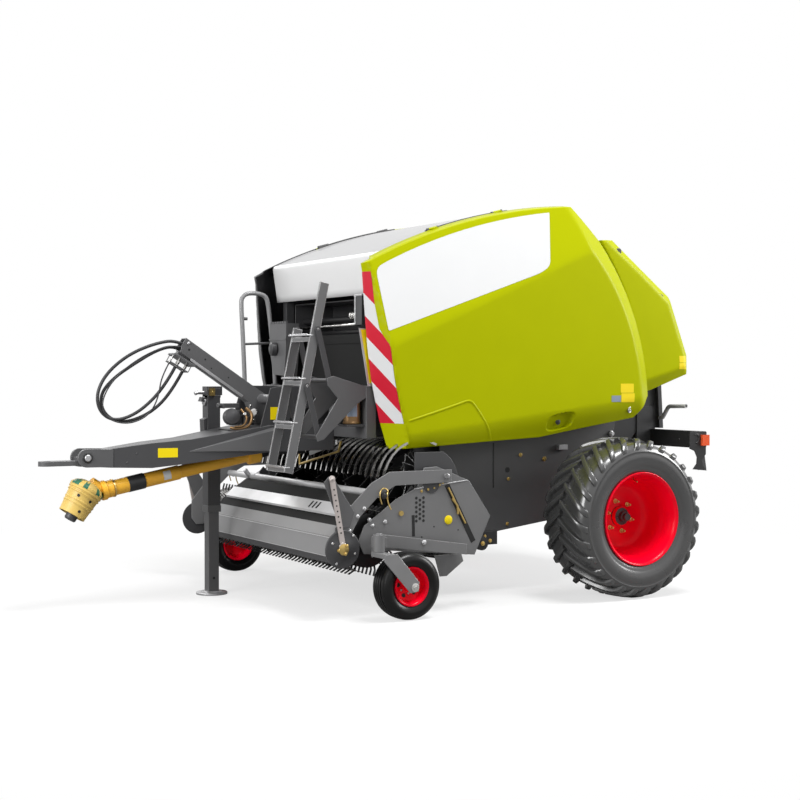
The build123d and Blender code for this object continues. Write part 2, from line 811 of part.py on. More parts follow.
def handrail():
    """Bent tube handrail on the right of the platform, with its foot bracket."""
    with BuildPart() as rail:
        with BuildLine(at_y(RAIL_Y)):
            FilletPolyline((600, 1390), (590, 1985), (450, 1995), (385, 1390), radius=60)
        with BuildSketch(Plane(origin=(600, RAIL_Y, 1390), z_dir=(-10, 0, 595))):
            Circle(HANDRAIL_TUBE)
        sweep()
    foot = box((BEAM_FRONT, RAIL_Y - 40, 1378), (640, RAIL_Y + 40, 1390))
    return joined(rail.part, foot)


write("handrail", handrail())

NET_BACK = -180
NET_TOP = 1985
NET_HALF = 680


def net_housing():
    """Open-fronted housing for the net roll, above the platform."""
    floor_z = BEAM_Z + BEAM_SIZE / 2
    shell = cut_away(
        box((NET_BACK, -NET_HALF, floor_z), (140, NET_HALF, NET_TOP)),
        box((NET_BACK + 8, -NET_HALF + 8, floor_z + 8), (150, NET_HALF - 8, NET_TOP - 8)),
    )
    return shell


write("net_housing", net_housing())


def net_shafts():
    """Net roll and the two feed shafts inside the housing."""
    end = NET_HALF - 8
    return joined(
        cross_bar(60, 1860, 22, -end, end),
        cross_bar(70, 1770, 16, -end, end),
        cross_bar(-40, 1600, 120, -end, end),
    )


write("net_shafts", net_shafts())


def top_profile(x_front, x_rear, drop, front_low=None):
    """Side outline of a top cover from its front to its rear end."""
    steps = 6
    points = [ridge(x_front + (x_rear - x_front) * i / steps, drop) for i in range(steps + 1)]
    return points


FACE_LOW = (243, 2000)
FACE_TOP = 280


def lid():
    """Front top cover: nose face, curved top, short side skirts and hinge lugs."""
    top = top_profile(FACE_TOP, LID_REAR, 5)
    skirt = reversed(top_profile(190, LID_REAR, LID_SKIRT))
    outer = (FACE_LOW, *top, *skirt, (190, FACE_LOW[1]))
    inner_top = top_profile(FACE_TOP - 6, LID_REAR - 50, 5 + LID_SHEET)
    inner = ((FACE_LOW[0] - 6, 1900), *inner_top, (LID_REAR - 50, 1900))
    shell = cut_away(
        plate(outer, -LID_HALF, LID_HALF),
        plate(inner, -LID_HALF + LID_SHEET, LID_HALF - LID_SHEET),
    )
    x, z = LID_PIN
    lug = cut_away(
        joined(
            cross_bar(x, z, 9, LID_LUG_Y - 7, LID_LUG_Y + 7),
            plate(((x, z - 9), (x, z + 4), ridge(x + 60, 8), ridge(x + 60, 30)), LID_LUG_Y - 7, LID_LUG_Y + 7),
        ),
        cross_bar(x, z, 5 + SEAT_GAP, LID_LUG_Y - 10, LID_LUG_Y + 10),
    )
    return joined(shell, lug, mirrored(lug))


write("lid", lid())


def top_panel():
    """Fixed rear top cover, resting on the rails."""
    start = LID_REAR - LID_GAP
    top = top_profile(start, RIDGE_END[0], 5)
    outer = (*top, (RAIL_REAR[0], 2492), RAIL_REAR, ridge(*RAIL_DROPS[1]), ridge(start, 109))
    inner_top = top_profile(start, RIDGE_END[0], 5 + LID_SHEET)
    inner = (ridge(start + 50, 11), *inner_top, (RAIL_REAR[0] - 10, 2470), (RAIL_REAR[0] - 10, 2300), (start + 50, 2300))
    return cut_away(
        plate(outer, -LID_HALF, LID_HALF),
        plate(inner, -RAIL_OUT + 5, RAIL_OUT - 5),
    )


write("top_panel", top_panel())

BAR_X = -2110


def light_bar():
    """Rear light bar, hung on the tailgate's walls by two angle brackets."""
    wall = WALL_IN + WALL
    pieces = [box((-2130, -1150, 975), (-2090, 1150, 1065))]
    for side in (1, -1):
        hanger = box((-2130, min(side * wall, side * (wall + 8)), 975), (-1960, max(side * wall, side * (wall + 8)), 1250))
        arm = box((-2090, min(side * wall, side * 660), 975), (-1960, max(side * wall, side * 660), 983))
        end = plate(
            ((-2145, 1079), (-2060, 1079), (-2060, 975), (-2085, 935), (-2070, 815), (-2145, 815), (-2125, 935), (-2145, 985)),
            min(side * 1150, side * 1156),
            max(side * 1150, side * 1156),
        )
        pieces += [hanger, arm, end]
    return joined(*pieces)


write("light_bar", light_bar())


def tail_lamps():
    """Side lamps at the ends of the light bar."""
    lamp = box((-2150, 1156, 985), (-2085, 1181, 1060))
    return joined(lamp, mirrored(lamp))


write("tail_lamps", tail_lamps())


def control_box():
    """Notched grey box beside the net housing on the right."""
    return box((250, -650, BEAM_TOP), (345, -430, 1840))


write("control_box", control_box())


def oil_canister():
    """Oil tank below the platform on the left."""
    with BuildPart() as can:
        with BuildSketch(Plane.XY.offset(1165)):
            with Locations((BEAM_FRONT + 68, 690)):
                Circle(58)
        extrude(amount=150)
        with BuildSketch(Plane.XY.offset(1315)):
            with Locations((BEAM_FRONT + 34, 690)):
                Rectangle(68, 50)
        extrude(amount=BEAM_LOW + 40 - 1315)
    return can.part


write("oil_canister", oil_canister())

# Side door outline, from the low rear corner along the bottom to the front
SEAM_LOW = (-1830, 1330)
SEAM_MIDDLE_TURN = radians(155)
SEAM_MIDDLE = (SEAM_X + SEAM_RADIUS * cos(SEAM_MIDDLE_TURN), SEAM_Z + SEAM_RADIUS * sin(SEAM_MIDDLE_TURN))
DOOR_LOW = ((-1677, 1180), (-1168, 1105), (-881, 1060), (-469, 1043), (263, 1010))
DOOR_FRONT = ((309, 1176), (410, 2180))
CREASE_START = (258, 1671)
CREASE_END = (-1448, 2387)
BOTTOM_TURN = atan2(140, 1208)
CREASE_TURN = atan2(CREASE_END[1] - CREASE_START[1], CREASE_START[0] - CREASE_END[0])
DOOR_CUTS = (
    (
        (CREASE_START[0], DOOR_OUT, CREASE_START[1]),
        (sin(radians(LEAN)) * sin(CREASE_TURN), cos(radians(LEAN)), sin(radians(LEAN)) * cos(CREASE_TURN)),
    ),
    ((309, DOOR_OUT - 115, 1176), (0.769, 0.637, -0.047)),
    (
        (-469, DOOR_OUT, 1150),
        (-sin(radians(TUCK)) * sin(BOTTOM_TURN), cos(radians(TUCK)), -sin(radians(TUCK)) * cos(BOTTOM_TURN)),
    ),
)


def door_outline(grow):
    """Side outline of the door as a sketch face, larger all round by grow."""
    with BuildSketch() as face:
        with BuildLine():
            Polyline(SEAM_LOW, *DOOR_LOW, *DOOR_FRONT, RIDGE_START)
            ThreePointArc(RIDGE_START, RIDGE_MIDDLE, RIDGE_END)
            Line(RIDGE_END, SLOPE_END)
            ThreePointArc(SLOPE_END, SEAM_MIDDLE, SEAM_LOW)
        make_face()
        if grow:
            offset(amount=grow, kind=Kind.INTERSECTION)
    return face.sketch


def seam_bevel(form_out, reach):
    """Turned form round the seam centre, whose cone bevels the rear edge."""
    drop = (reach - BEVEL_START) * BEVEL_SLOPE
    with BuildPart() as form:
        with BuildSketch(Plane(origin=(SEAM_X, 0, SEAM_Z), x_dir=(1, 0, 0), z_dir=(0, 0, 1))):
            Polygon((0, 0), (reach, 0), (reach, form_out - drop), (BEVEL_START, form_out), (0, form_out), align=None)
        revolve(axis=Axis((SEAM_X, 0, SEAM_Z), (0, 1, 0)))
    return form.part


def door_form(shrink, y_inner):
    """Outer form of the side door, smaller all round by shrink."""
    outline = door_outline(-shrink)
    outside = DOOR_OUT - shrink
    with BuildPart() as form:
        with BuildSketch(at_y(outside)):
            add(outline)
        extrude(amount=outside - y_inner)
        for point, normal in DOOR_CUTS:
            outward = Vector(*normal).normalized()
            split(bisect_by=Plane(origin=Vector(*point) - outward * shrink, z_dir=outward), keep=Keep.BOTTOM)
        add(seam_bevel(outside, 2400), mode=Mode.INTERSECT)
    return form.part


def door():
    """Hollow side door with the barrels of its two hinges."""
    with BuildPart() as panel:
        add(cut_away(door_form(0, DOOR_IN), door_form(PANEL, DOOR_IN - 10)))
        for centre in (-KNUCKLE_SPREAD, KNUCKLE_SPREAD):
            start = across_hinge(centre - KNUCKLE_LENGTH / 2)
            with BuildSketch(start):
                Circle(KNUCKLE)
                with Locations(((KNUCKLE + DOOR_IN - DOOR_HINGE_Y) / 2, 1)):
                    Rectangle(DOOR_IN - DOOR_HINGE_Y, 6)
            extrude(amount=KNUCKLE_LENGTH)
            with BuildSketch(start):
                Circle(DOOR_PIN + SEAT_GAP)
            extrude(amount=KNUCKLE_LENGTH, mode=Mode.SUBTRACT)
    return panel.part


both_sides("door", door())

# Cover outline: distance ahead of the seam's rearmost point, and height
COVER_STEPS = (
    (389, 2405), (274, 2412), (17, 2213), (-236, 2033), (-402, 1618), (-405, 1481), (-67, 1364), (230, 1364),
    (440, 1700), (440, 2300),
)
COVER_OUTLINE = [(SEAM_X - SEAM_RADIUS + ahead, z) for ahead, z in COVER_STEPS]


def cover_form(shrink, y_inner):
    """Form of the tailgate's side cover."""
    outside = COVER_OUT - shrink
    with BuildPart() as form:
        with BuildSketch(at_y(outside)):
            Polygon(*COVER_OUTLINE, align=None)
            if shrink:
                offset(amount=-shrink, kind=Kind.INTERSECTION)
            add(door_outline(SEAM_GAP + shrink), mode=Mode.SUBTRACT)
        extrude(amount=outside - y_inner)
    return form.part


def tailgate_cover():
    """Hollow side cover of the tailgate."""
    return cut_away(cover_form(0, COVER_IN), cover_form(PANEL, COVER_IN - 10))


both_sides("tailgate_cover", tailgate_cover())


GATE_FOOT = ((-2105, 1480), (-2165, 1400), (-2185, 1090), (-1900, 1090), (-1900, 1480))
LONG_TIES = (112, 146, 164, 182)
SHORT_TIES = (215, 245)
TIE_RADIUS = 22


def around_chamber(radius, angle):
    """Point on a circle about the chamber's centre."""
    return (CHAMBER_X + radius * cos(radians(angle)), CHAMBER_Z + radius * sin(radians(angle)))


def tailgate_frame():
    """Rear half of the chamber walls with hinge ears, tied across to the side covers."""
    with BuildPart() as wall:
        with BuildSketch(at_y(WALL_IN + WALL)):
            with Locations((CHAMBER_X, CHAMBER_Z)):
                Circle(WALL_RADIUS)
            with Locations((HINGE_X, HINGE_Z)):
                Circle(50)
            Polygon(*GATE_FOOT, align=None)
            with Locations((SPLIT_X - SPLIT_GAP + 1000, CHAMBER_Z)):
                Rectangle(2000, 2400, mode=Mode.SUBTRACT)
            with Locations((HINGE_X, HINGE_Z)):
                Circle(HINGE_PIN + SEAT_GAP, mode=Mode.SUBTRACT)
        extrude(amount=WALL)
    flange = plate((GATE_FOOT[0], GATE_FOOT[1], GATE_FOOT[2], (-2150, 1090), (-2130, 1400)), WALL_IN + WALL, 655)
    pieces = [wall.part, mirrored(wall.part), flange, mirrored(flange)]
    for angles, end in ((LONG_TIES, COVER_OUT - PANEL), (SHORT_TIES, WALL_IN + WALL)):
        for angle in angles:
            pieces.append(cross_bar(*around_chamber(WALL_RADIUS, angle), TIE_RADIUS, -end, end))
    return joined(*pieces)


write("tailgate_frame", tailgate_frame())


def rear_handle():
    """Bent tube handle on the tailgate's left flange."""
    start = 655
    with BuildPart() as made:
        with BuildLine(Plane.YZ.offset(-2152)):
            route = FilletPolyline((start, 1165), (start + 30, 1165), (752, 1250), (938, 1255), radius=(25, 45))
        with BuildSketch(Plane(origin=route @ 0, z_dir=route % 0)):
            Circle(15)
            Circle(11, mode=Mode.SUBTRACT)
        sweep()
    return made.part


write("rear_handle", rear_handle())
write("tailgate_rollers", rollers(REAR_ROLLERS, WALL_IN))


# Main wheels
def ring(profile, x, z):
    """Turned form about a cross axis; profile points are (radius, y)."""
    with BuildPart() as made:
        with BuildSketch(Plane(origin=(x, 0, z), x_dir=(1, 0, 0), z_dir=(0, 0, 1))):
            Polygon(*profile, align=None)
        revolve(axis=Axis((x, 0, z), (0, 1, 0)))
    return made.part


def main_rim():
    """Deep dished rim with hub."""
    low = WHEEL_Y - RIM_HALF
    high = WHEEL_Y + RIM_HALF
    barrel = ring(
        (
            (RIM_RADIUS - 8, low + RIM_LIP),
            (RIM_RADIUS + RIM_LIP, low + RIM_LIP),
            (RIM_RADIUS + RIM_LIP, low),
            (RIM_RADIUS - 16, low),
            (RIM_RADIUS - 16, high),
            (RIM_RADIUS + RIM_LIP, high),
            (RIM_RADIUS + RIM_LIP, high - RIM_LIP),
            (RIM_RADIUS, high - RIM_LIP),
            (RIM_RADIUS, low + RIM_LIP),
        ),
        AXLE_X,
        AXLE_Z,
    )
    disc = ring(
        (
            (STUB_RADIUS + SEAT_GAP, 1060),
            (75, 1060),
            (75, 1140),
            (RIM_RADIUS - 12, 1120),
            (RIM_RADIUS - 12, 1134),
            (75, 1156),
            (60, WHEEL_Y),
            (0, WHEEL_Y),
            (0, WHEEL_Y - 65 + SEAT_GAP),
            (STUB_RADIUS + SEAT_GAP, WHEEL_Y - 65 + SEAT_GAP),
        ),
        AXLE_X,
        AXLE_Z,
    )
    return joined(barrel, disc)


both_sides("main_rim", main_rim())


def main_tyre():
    """Flotation tyre with slanted lugs on both halves of its tread."""
    base = TYRE_RADIUS - LUG_HEIGHT
    bead = RIM_HALF - RIM_LIP - SEAT_GAP
    half = TYRE_HALF
    profile = [
        (RIM_RADIUS + SEAT_GAP, bead),
        (RIM_RADIUS + RIM_LIP + 4, bead),
        (400, half),
        (470, half - 6),
        (base, half - 40),
    ]
    outline = [(r, WHEEL_Y + y) for r, y in profile] + [(r, WHEEL_Y - y) for r, y in reversed(profile)]
    carcass = ring(outline, AXLE_X, AXLE_Z)
    crown = ring(
        (
            (300, WHEEL_Y - half),
            (300, WHEEL_Y + half),
            (470, WHEEL_Y + half),
            (TYRE_RADIUS - 8, WHEEL_Y + half - 26),
            (TYRE_RADIUS, WHEEL_Y + half - 60),
            (TYRE_RADIUS, WHEEL_Y - half + 60),
            (TYRE_RADIUS - 8, WHEEL_Y - half + 26),
            (470, WHEEL_Y - half),
        ),
        AXLE_X,
        AXLE_Z,
    )
    lugs = []
    for side in (1, -1):
        with BuildPart() as lug:
            with BuildSketch(Plane(origin=(AXLE_X, WHEEL_Y, AXLE_Z + base - 22))):
                Polygon(
                    (-14, side * -12), (18, side * -12), (130, side * (half + 4)), (86, side * (half + 4)),
                    align=None,
                )
            extrude(amount=60)
            add(crown, mode=Mode.INTERSECT)
        lugs.append(lug.part)
    turning = Axis((AXLE_X, 0, AXLE_Z), (0, 1, 0))
    step = 360 / LUG_COUNT
    copies = [lug.rotate(turning, step * (i + k / 2)) for i in range(LUG_COUNT) for k, lug in enumerate(lugs)]
    return joined(carcass, *copies)


both_sides("main_tyre", main_tyre())


# Gauge wheels
def gauge_rim():
    """Small dished rim with hub."""
    y = GAUGE_Y
    barrel = ring(
        (
            (GAUGE_RIM - 8, y - 70), (GAUGE_RIM + 10, y - 70), (GAUGE_RIM + 10, y - 62), (GAUGE_RIM, y - 62),
            (GAUGE_RIM, y + 62), (GAUGE_RIM + 10, y + 62), (GAUGE_RIM + 10, y + 70), (GAUGE_RIM - 8, y + 70),
        ),
        GAUGE_X,
        GAUGE_RADIUS,
    )
    disc = ring(
        (
            (15.3, y - 50), (32, y - 50), (32, y - 4), (GAUGE_RIM - 6, y + 4), (GAUGE_RIM - 6, y + 12), (32, y + 6),
            (32, y + 60), (15.3, y + 60),
        ),
        GAUGE_X,
        GAUGE_RADIUS,
    )
    return joined(barrel, disc)


both_sides("gauge_rim", gauge_rim())


def gauge_tyre():
    """Small ribbed tyre."""
    profile = [(GAUGE_RIM + 0.4, 61), (GAUGE_RIM + 14, 61.5), (150, GAUGE_HALF), (182, 76), (200, 52), (GAUGE_RADIUS, 30)]
    outline = [(r, GAUGE_Y + y) for r, y in profile] + [(r, GAUGE_Y - y) for r, y in reversed(profile)]
    return ring(outline, GAUGE_X, GAUGE_RADIUS)


both_sides("gauge_tyre", gauge_tyre())

FORK_Y = 1350


def caster():
    """Swivel pin with the one-sided wheel arm."""
    with BuildPart() as pin:
        with BuildSketch(Plane.XY.offset(400)):
            with Locations((SWIVEL_X, SWIVEL_Y)):
                Circle(SWIVEL_PIN)
        extrude(amount=SLEEVE_TOP + 8 - 400)
    bridge = box((SWIVEL_X - 35, SWIVEL_Y - 35, 388), (SWIVEL_X + 35, FORK_Y + 10, SLEEVE_LOW - 2))
    arm = plate(
        (
            (SWIVEL_X + 35, SLEEVE_LOW - 2), (SWIVEL_X + 35, 370), (GAUGE_X + 30, GAUGE_RADIUS - 32),
            (GAUGE_X - 25, GAUGE_RADIUS - 25), (GAUGE_X - 30, GAUGE_RADIUS + 30), (SWIVEL_X - 50, SLEEVE_LOW - 2),
        ),
        FORK_Y,
        FORK_Y + 10,
    )
    stub = cross_bar(GAUGE_X, GAUGE_RADIUS, 15, GAUGE_Y - 50, FORK_Y)
    return joined(pin.part, bridge, arm, stub)


both_sides("caster", caster())

SHIELD_OUTLINE = (
    (-203, 808), (-15, 885), (40, 905), (130, 900), (180, 780), (330, 715), (560, 560), (600, 470), (560, 390),
    (450, 380), (386, 400), (-245, 335), (-365, 577),
)


def pickup_side():
    """Pickup side plate with its bearing, gauge wheel arm and swivel sleeve."""
    shield = cut_away(
        plate(SHIELD_OUTLINE, SHIELD_Y, SHIELD_Y + SHIELD),
        cross_bar(ROTOR_X, ROTOR_Z, BEARING_RADIUS + SEAT_GAP, SHIELD_Y - 5, SHIELD_Y + SHIELD + 5),
    )
    arm = plate(((500, 438), (500, 508), (450, 508), (-130, 418), (-130, 352)), 1128, 1178)
    spacers = [cross_bar(x, z, 18, SHIELD_Y + SHIELD, 1128) for x, z in ((-80, 400), (300, 450))]
    bracket = box((480, 1128, 438), (SWIVEL_X, 1230, 500))
    with BuildPart() as sleeve:
        with BuildSketch(Plane.XY.offset(SLEEVE_LOW)):
            with Locations((SWIVEL_X, SWIVEL_Y)):
                Circle(36)
        extrude(amount=SLEEVE_TOP - SLEEVE_LOW)
    with BuildPart() as hole:
        with BuildSketch(Plane.XY.offset(SLEEVE_LOW - 5)):
            with Locations((SWIVEL_X, SWIVEL_Y)):
                Circle(SWIVEL_PIN + SEAT_GAP)
        extrude(amount=SLEEVE_TOP - SLEEVE_LOW + 10)
    pin = cross_bar(GUARD_X, GUARD_Z, 15, SHIELD_Y + SHIELD, GUARD_Y + GUARD_PLATE + 12)
    return cut_away(joined(shield, arm, *spacers, bracket, sleeve.part, pin), hole.part)


both_sides("pickup_side", pickup_side())


LEDGE = ((262, 589), (225, 510), (200, 400))


def pickup_frame():
    """Cross tube and scraper plate between the pickup sides."""
    return joined(
        cross_bar(*PICKUP_TUBE, 30, -SHIELD_Y, SHIELD_Y),
        plate((LEDGE[-1], (LEDGE[-1][0], LEDGE[-1][1] - 8), (-110, 368), (-110, 376)), -SHIELD_Y, SHIELD_Y),
    )


write("pickup_frame", pickup_frame())


def pickup_bands():
    """Row of curved stripper bands over the reel, held by the ledge behind it."""
    outer = BAND_RADIUS
    inner = BAND_RADIUS - 4
    start = -80
    stop = 100
    rim = {r: [(REEL_X + r * cos(radians(a)), REEL_Z + r * sin(radians(a))) for a in (start, 10, stop)]
           for r in (outer, inner)}
    back = (LEDGE[0][0] - 6, LEDGE[0][1] - 4)
    with BuildPart() as made:
        for i in range(BAND_COUNT):
            y = (i - (BAND_COUNT - 1) / 2) * BAND_PITCH
            with BuildSketch(at_y(y + BAND_WIDTH / 2)):
                with BuildLine():
                    ThreePointArc(*rim[outer])
                    Line(rim[outer][2], (back[0], back[1] + 4))
                    Line((back[0], back[1] + 4), back)
                    Line(back, rim[inner][2])
                    ThreePointArc(*rim[inner])
                    Line(rim[inner][0], rim[outer][0])
                make_face()
            extrude(amount=BAND_WIDTH)
    ledge = plate((*LEDGE, *[(x - 8, z) for x, z in reversed(LEDGE)]), -SHIELD_Y, SHIELD_Y)
    return joined(made.part, ledge)


write("pickup_bands", pickup_bands())


def pickup_reel():
    """Reel tube with four rows of spring tines between the bands."""
    pieces = [cross_bar(REEL_X, REEL_Z, 60, -SHIELD_Y + SEAT_GAP, SHIELD_Y - SEAT_GAP)]
    rows = 4
    for k in range(rows):
        angle = radians(k * 360 / rows + 45)
        way = (cos(angle), sin(angle))
        across = (-way[1] * TINE / 2, way[0] * TINE / 2)
        for i in range(BAND_COUNT - 1):
            y = (i - (BAND_COUNT - 2) / 2) * BAND_PITCH
            base = (REEL_X + way[0] * 50, REEL_Z + way[1] * 50)
            tip = (REEL_X + way[0] * TINE_RADIUS, REEL_Z + way[1] * TINE_RADIUS)
            outline = (
                (base[0] - across[0], base[1] - across[1]), (base[0] + across[0], base[1] + across[1]),
                (tip[0] + across[0], tip[1] + across[1]), (tip[0] - across[0], tip[1] - across[1]),
            )
            pieces.append(plate(outline, y - TINE / 2, y + TINE / 2))
    return joined(*pieces)


write("pickup_reel", pickup_reel())

GUARD_ARM = (
    (-60, 885), (390, 885), (520, 820), (660, 690), (770, 560), (770, 430), (735, 385), (640, 385), (660, 520),
    (600, 620), (480, 730), (350, 800), (-60, 805),
)
GUARD_SHEET = ((505, 745), (600, 712), (672, 668), (752, 572), (800, 480), (816, 390))


def windguard():
    """Crop guard: curved side arms, cross tube and folded front sheet."""
    pin_hole = cross_bar(GUARD_X, GUARD_Z, 15 + SEAT_GAP, GUARD_Y - 5, GUARD_Y + GUARD_PLATE + 5)
    arm = cut_away(plate(GUARD_ARM, GUARD_Y, GUARD_Y + GUARD_PLATE), pin_hole)
    lower = [(x - 4, z - 4) for x, z in reversed(GUARD_SHEET)]
    sheet = plate((*GUARD_SHEET, *lower), -GUARD_Y, GUARD_Y)
    tube = cross_bar(465, 752, 22, -GUARD_Y, GUARD_Y)
    disc = cross_bar(722, 431, 117, GUARD_Y + GUARD_PLATE, GUARD_Y + GUARD_PLATE + 10)
    link = flat_bar((722, 431), (798, 855), 36, GUARD_Y + GUARD_PLATE + 10, GUARD_Y + GUARD_PLATE + 18)
    side = joined(arm, disc, link)
    return joined(side, mirrored(side), sheet, tube)


write("windguard", windguard())


def star_plate(y, radius):
    """One rotor star with three curved tines that reach to radius."""
    k = radius / ROTOR_RADIUS
    with BuildPart() as star:
        with BuildSketch(at_y(y + 5)):
            for angle in (0, 120, 240):
                with Locations(Location((ROTOR_X, ROTOR_Z, 0), (0, 0, angle))):
                    Polygon((40, -60), (150 * k, -70 * k), (radius - 2, -20), (170 * k, 15), (40, 60), align=None)
        extrude(amount=10)
    return star.part


def feed_rotor():
    """Rotor tube with curved tine stars set in a spiral from both ends."""
    pieces = [cross_bar(ROTOR_X, ROTOR_Z, ROTOR_TUBE, -ROTOR_HALF, ROTOR_HALF)]
    turning = Axis((ROTOR_X, 0, ROTOR_Z), (0, 1, 0))
    for i in range(STAR_COUNT):
        count = i - (STAR_COUNT - 1) / 2
        y = count * STAR_PITCH
        radius = ROTOR_RADIUS if abs(y) < WALL_IN - 20 else AUGER_RADIUS
        pieces.append(star_plate(y, radius).rotate(turning, abs(count) * STAR_TURN))
    return joined(*pieces)


write("feed_rotor", feed_rotor())


# Ladder
def on_rail(share, out=0):
    """Point on the ladder rail's centre line, from top to bottom."""
    run = (LADDER_LOW[0] - LADDER_TOP[0], LADDER_LOW[1] - LADDER_TOP[1])
    length = hypot(*run)
    return (
        LADDER_TOP[0] + run[0] * share - run[1] / length * out,
        LADDER_TOP[1] + run[1] * share + run[0] / length * out,
    )


def link_end(pivot):
    """Upper end of a ladder link at rest."""
    return (pivot[0] + LINK_LENGTH * cos(radians(LINK_RISE)), pivot[1] + LINK_LENGTH * sin(radians(LINK_RISE)))


def ladder():
    """Folding ladder with four rungs."""
    half = RAIL_WIDE / 2
    pieces = []
    for y, top in ((LADDER_HIGH_Y, 0), (LADDER_LOW_Y + RAIL_THICK, 0.24)):
        outline = (on_rail(top, half), on_rail(1, half), on_rail(1, -half), on_rail(top, -half))
        pieces.append(plate(outline, y - RAIL_THICK, y))
    for share in (0.3, 0.53, 0.76, 0.985):
        x, z = on_rail(share)
        pieces.append(
            box((x - 28, LADDER_LOW_Y + RAIL_THICK, z - 14), (x + 28, LADDER_HIGH_Y - RAIL_THICK, z + 14))
        )
    for pivot in (LINK_UPPER, LINK_LOWER):
        x, z = link_end(pivot)
        reach = LINK_SIDE_GAP + LINK_THICK
        pieces.append(cross_bar(x, z, LINK_EYE, LADDER_HIGH_Y, LADDER_HIGH_Y + reach))
        pieces.append(cross_bar(x, z, LINK_EYE, LADDER_LOW_Y - reach, LADDER_LOW_Y))
    return joined(*pieces)


write("ladder", ladder())


def ladder_link(pivot):
    """One pair of ladder links, joined by a tube at the frame end."""
    high = LADDER_HIGH_Y + LINK_SIDE_GAP
    low = LADDER_LOW_Y - LINK_SIDE_GAP
    end = link_end(pivot)
    bars = joined(
        flat_bar(pivot, end, 36, high, high + LINK_THICK),
        flat_bar(pivot, end, 36, low - LINK_THICK, low),
        cross_bar(*pivot, 14, low, high),
    )
    eyes = [cross_bar(x, z, LINK_EYE + SEAT_GAP, low - LINK_THICK - 2, low) for x, z in (pivot, end)]
    eyes += [cross_bar(x, z, LINK_EYE + SEAT_GAP, high, high + LINK_THICK + 2) for x, z in (pivot, end)]
    return cut_away(bars, *eyes)


write("ladder_link_upper", ladder_link(LINK_UPPER))
write("ladder_link_lower", ladder_link(LINK_LOWER))
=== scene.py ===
"""Looks of a towed round baler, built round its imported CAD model.

Metres; +X points forward, +Y to the machine's left, +Z up, and the ground is z = 0.
"""
import math

import bmesh
import bpy
from mathutils import Matrix, Vector


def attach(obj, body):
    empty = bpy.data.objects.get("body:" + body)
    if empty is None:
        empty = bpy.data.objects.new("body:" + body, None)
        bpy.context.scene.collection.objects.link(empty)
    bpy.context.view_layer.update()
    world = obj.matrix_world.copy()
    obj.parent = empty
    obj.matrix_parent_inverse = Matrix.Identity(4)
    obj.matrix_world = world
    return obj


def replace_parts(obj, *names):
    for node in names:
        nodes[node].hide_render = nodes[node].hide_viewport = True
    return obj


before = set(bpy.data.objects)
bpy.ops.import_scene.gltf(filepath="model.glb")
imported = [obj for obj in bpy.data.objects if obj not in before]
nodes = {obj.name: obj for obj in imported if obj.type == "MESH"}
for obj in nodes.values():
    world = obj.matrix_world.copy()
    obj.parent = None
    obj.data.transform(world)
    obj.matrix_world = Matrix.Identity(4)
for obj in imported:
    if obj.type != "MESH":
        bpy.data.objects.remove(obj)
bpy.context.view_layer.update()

# Camera, solved from the photograph's wheels and parallel edges
CAMERA_AT = (4.860, 8.762, 1.490)
LOOK = (-0.5105, -0.8599)
LOOK_DOWN = math.atan2(27, 1450)
FOCAL_MM = 65.25

# Studio: lamps are (name, place, aim, size, watts)
FLOOR_COLOUR = (0.32, 0.32, 0.32)
FLOOR_GLOW = 0.66
FLOOR_FADE = (3.2, 5.0)
SKY_LIGHT = 0.26
LAMPS = (
    ("key", (-1.6, 3.6, 9.4), (-0.3, 0.5, 1.4), 3.5, 765),
    ("front", (7.8, 2.2, 3.6), (0.3, 0.0, 1.0), 4.0, 500),
    ("rear", (-8.0, 3.5, 4.0), (-1.2, 0.4, 1.5), 3.5, 430),
    ("far", (1.5, -6.5, 6.0), (-0.2, -0.5, 1.2), 4.0, 200),
)

# Places shared with the CAD, in metres
DOOR_OUT = 0.975
DOOR_IN = 0.780
CREASE_FRONT = (0.258, 1.671)
CREASE_REAR = (-1.448, 2.387)
LEAN = math.radians(14)
TUCK = math.radians(25)
SEAM = (-0.212, 1.261)
SEAM_RADIUS = 1.618
WHEEL = (-1.367, 1.185, 0.530)
GAUGE = (0.360, 1.257, 0.205)
SIDES = (("left", 1), ("right", -1))


def new_group(name, inputs, outputs):
    """Empty shader node group with the named sockets, its input and its output node."""
    group = bpy.data.node_groups.new(name, "ShaderNodeTree")
    for label, kind, value in inputs:
        socket = group.interface.new_socket(name=label, in_out="INPUT", socket_type=kind)
        socket.default_value = value
    for label, kind in outputs:
        group.interface.new_socket(name=label, in_out="OUTPUT", socket_type=kind)
    return group, group.nodes.new("NodeGroupInput"), group.nodes.new("NodeGroupOutput")


def math_node(tree, kind, first, second):
    """Math node whose inputs are sockets or numbers."""
    node = tree.nodes.new("ShaderNodeMath")
    node.operation = kind
    for slot, value in enumerate((first, second)):
        if isinstance(value, (int, float)):
            node.inputs[slot].default_value = value
        else:
            tree.links.new(value, node.inputs[slot])
    return node.outputs[0]


def noise(tree, vector, scale, detail=4.0):
    """Noise texture read at object coordinates."""
    node = tree.nodes.new("ShaderNodeTexNoise")
    node.inputs["Detail"].default_value = detail
    if isinstance(scale, (int, float)):
        node.inputs["Scale"].default_value = scale
    else:
        tree.links.new(scale, node.inputs["Scale"])
    tree.links.new(vector, node.inputs["Vector"])
    return node.outputs["Fac"]


def spread(tree, value, low, high, to_low, to_high):
    """Map a value's range onto another, clamped."""
    node = tree.nodes.new("ShaderNodeMapRange")
    tree.links.new(value, node.inputs["Value"])
    for label, number in (("From Min", low), ("From Max", high), ("To Min", to_low), ("To Max", to_high)):
        if isinstance(number, (int, float)):
            node.inputs[label].default_value = number
        else:
            tree.links.new(number, node.inputs[label])
    return node.outputs["Result"]


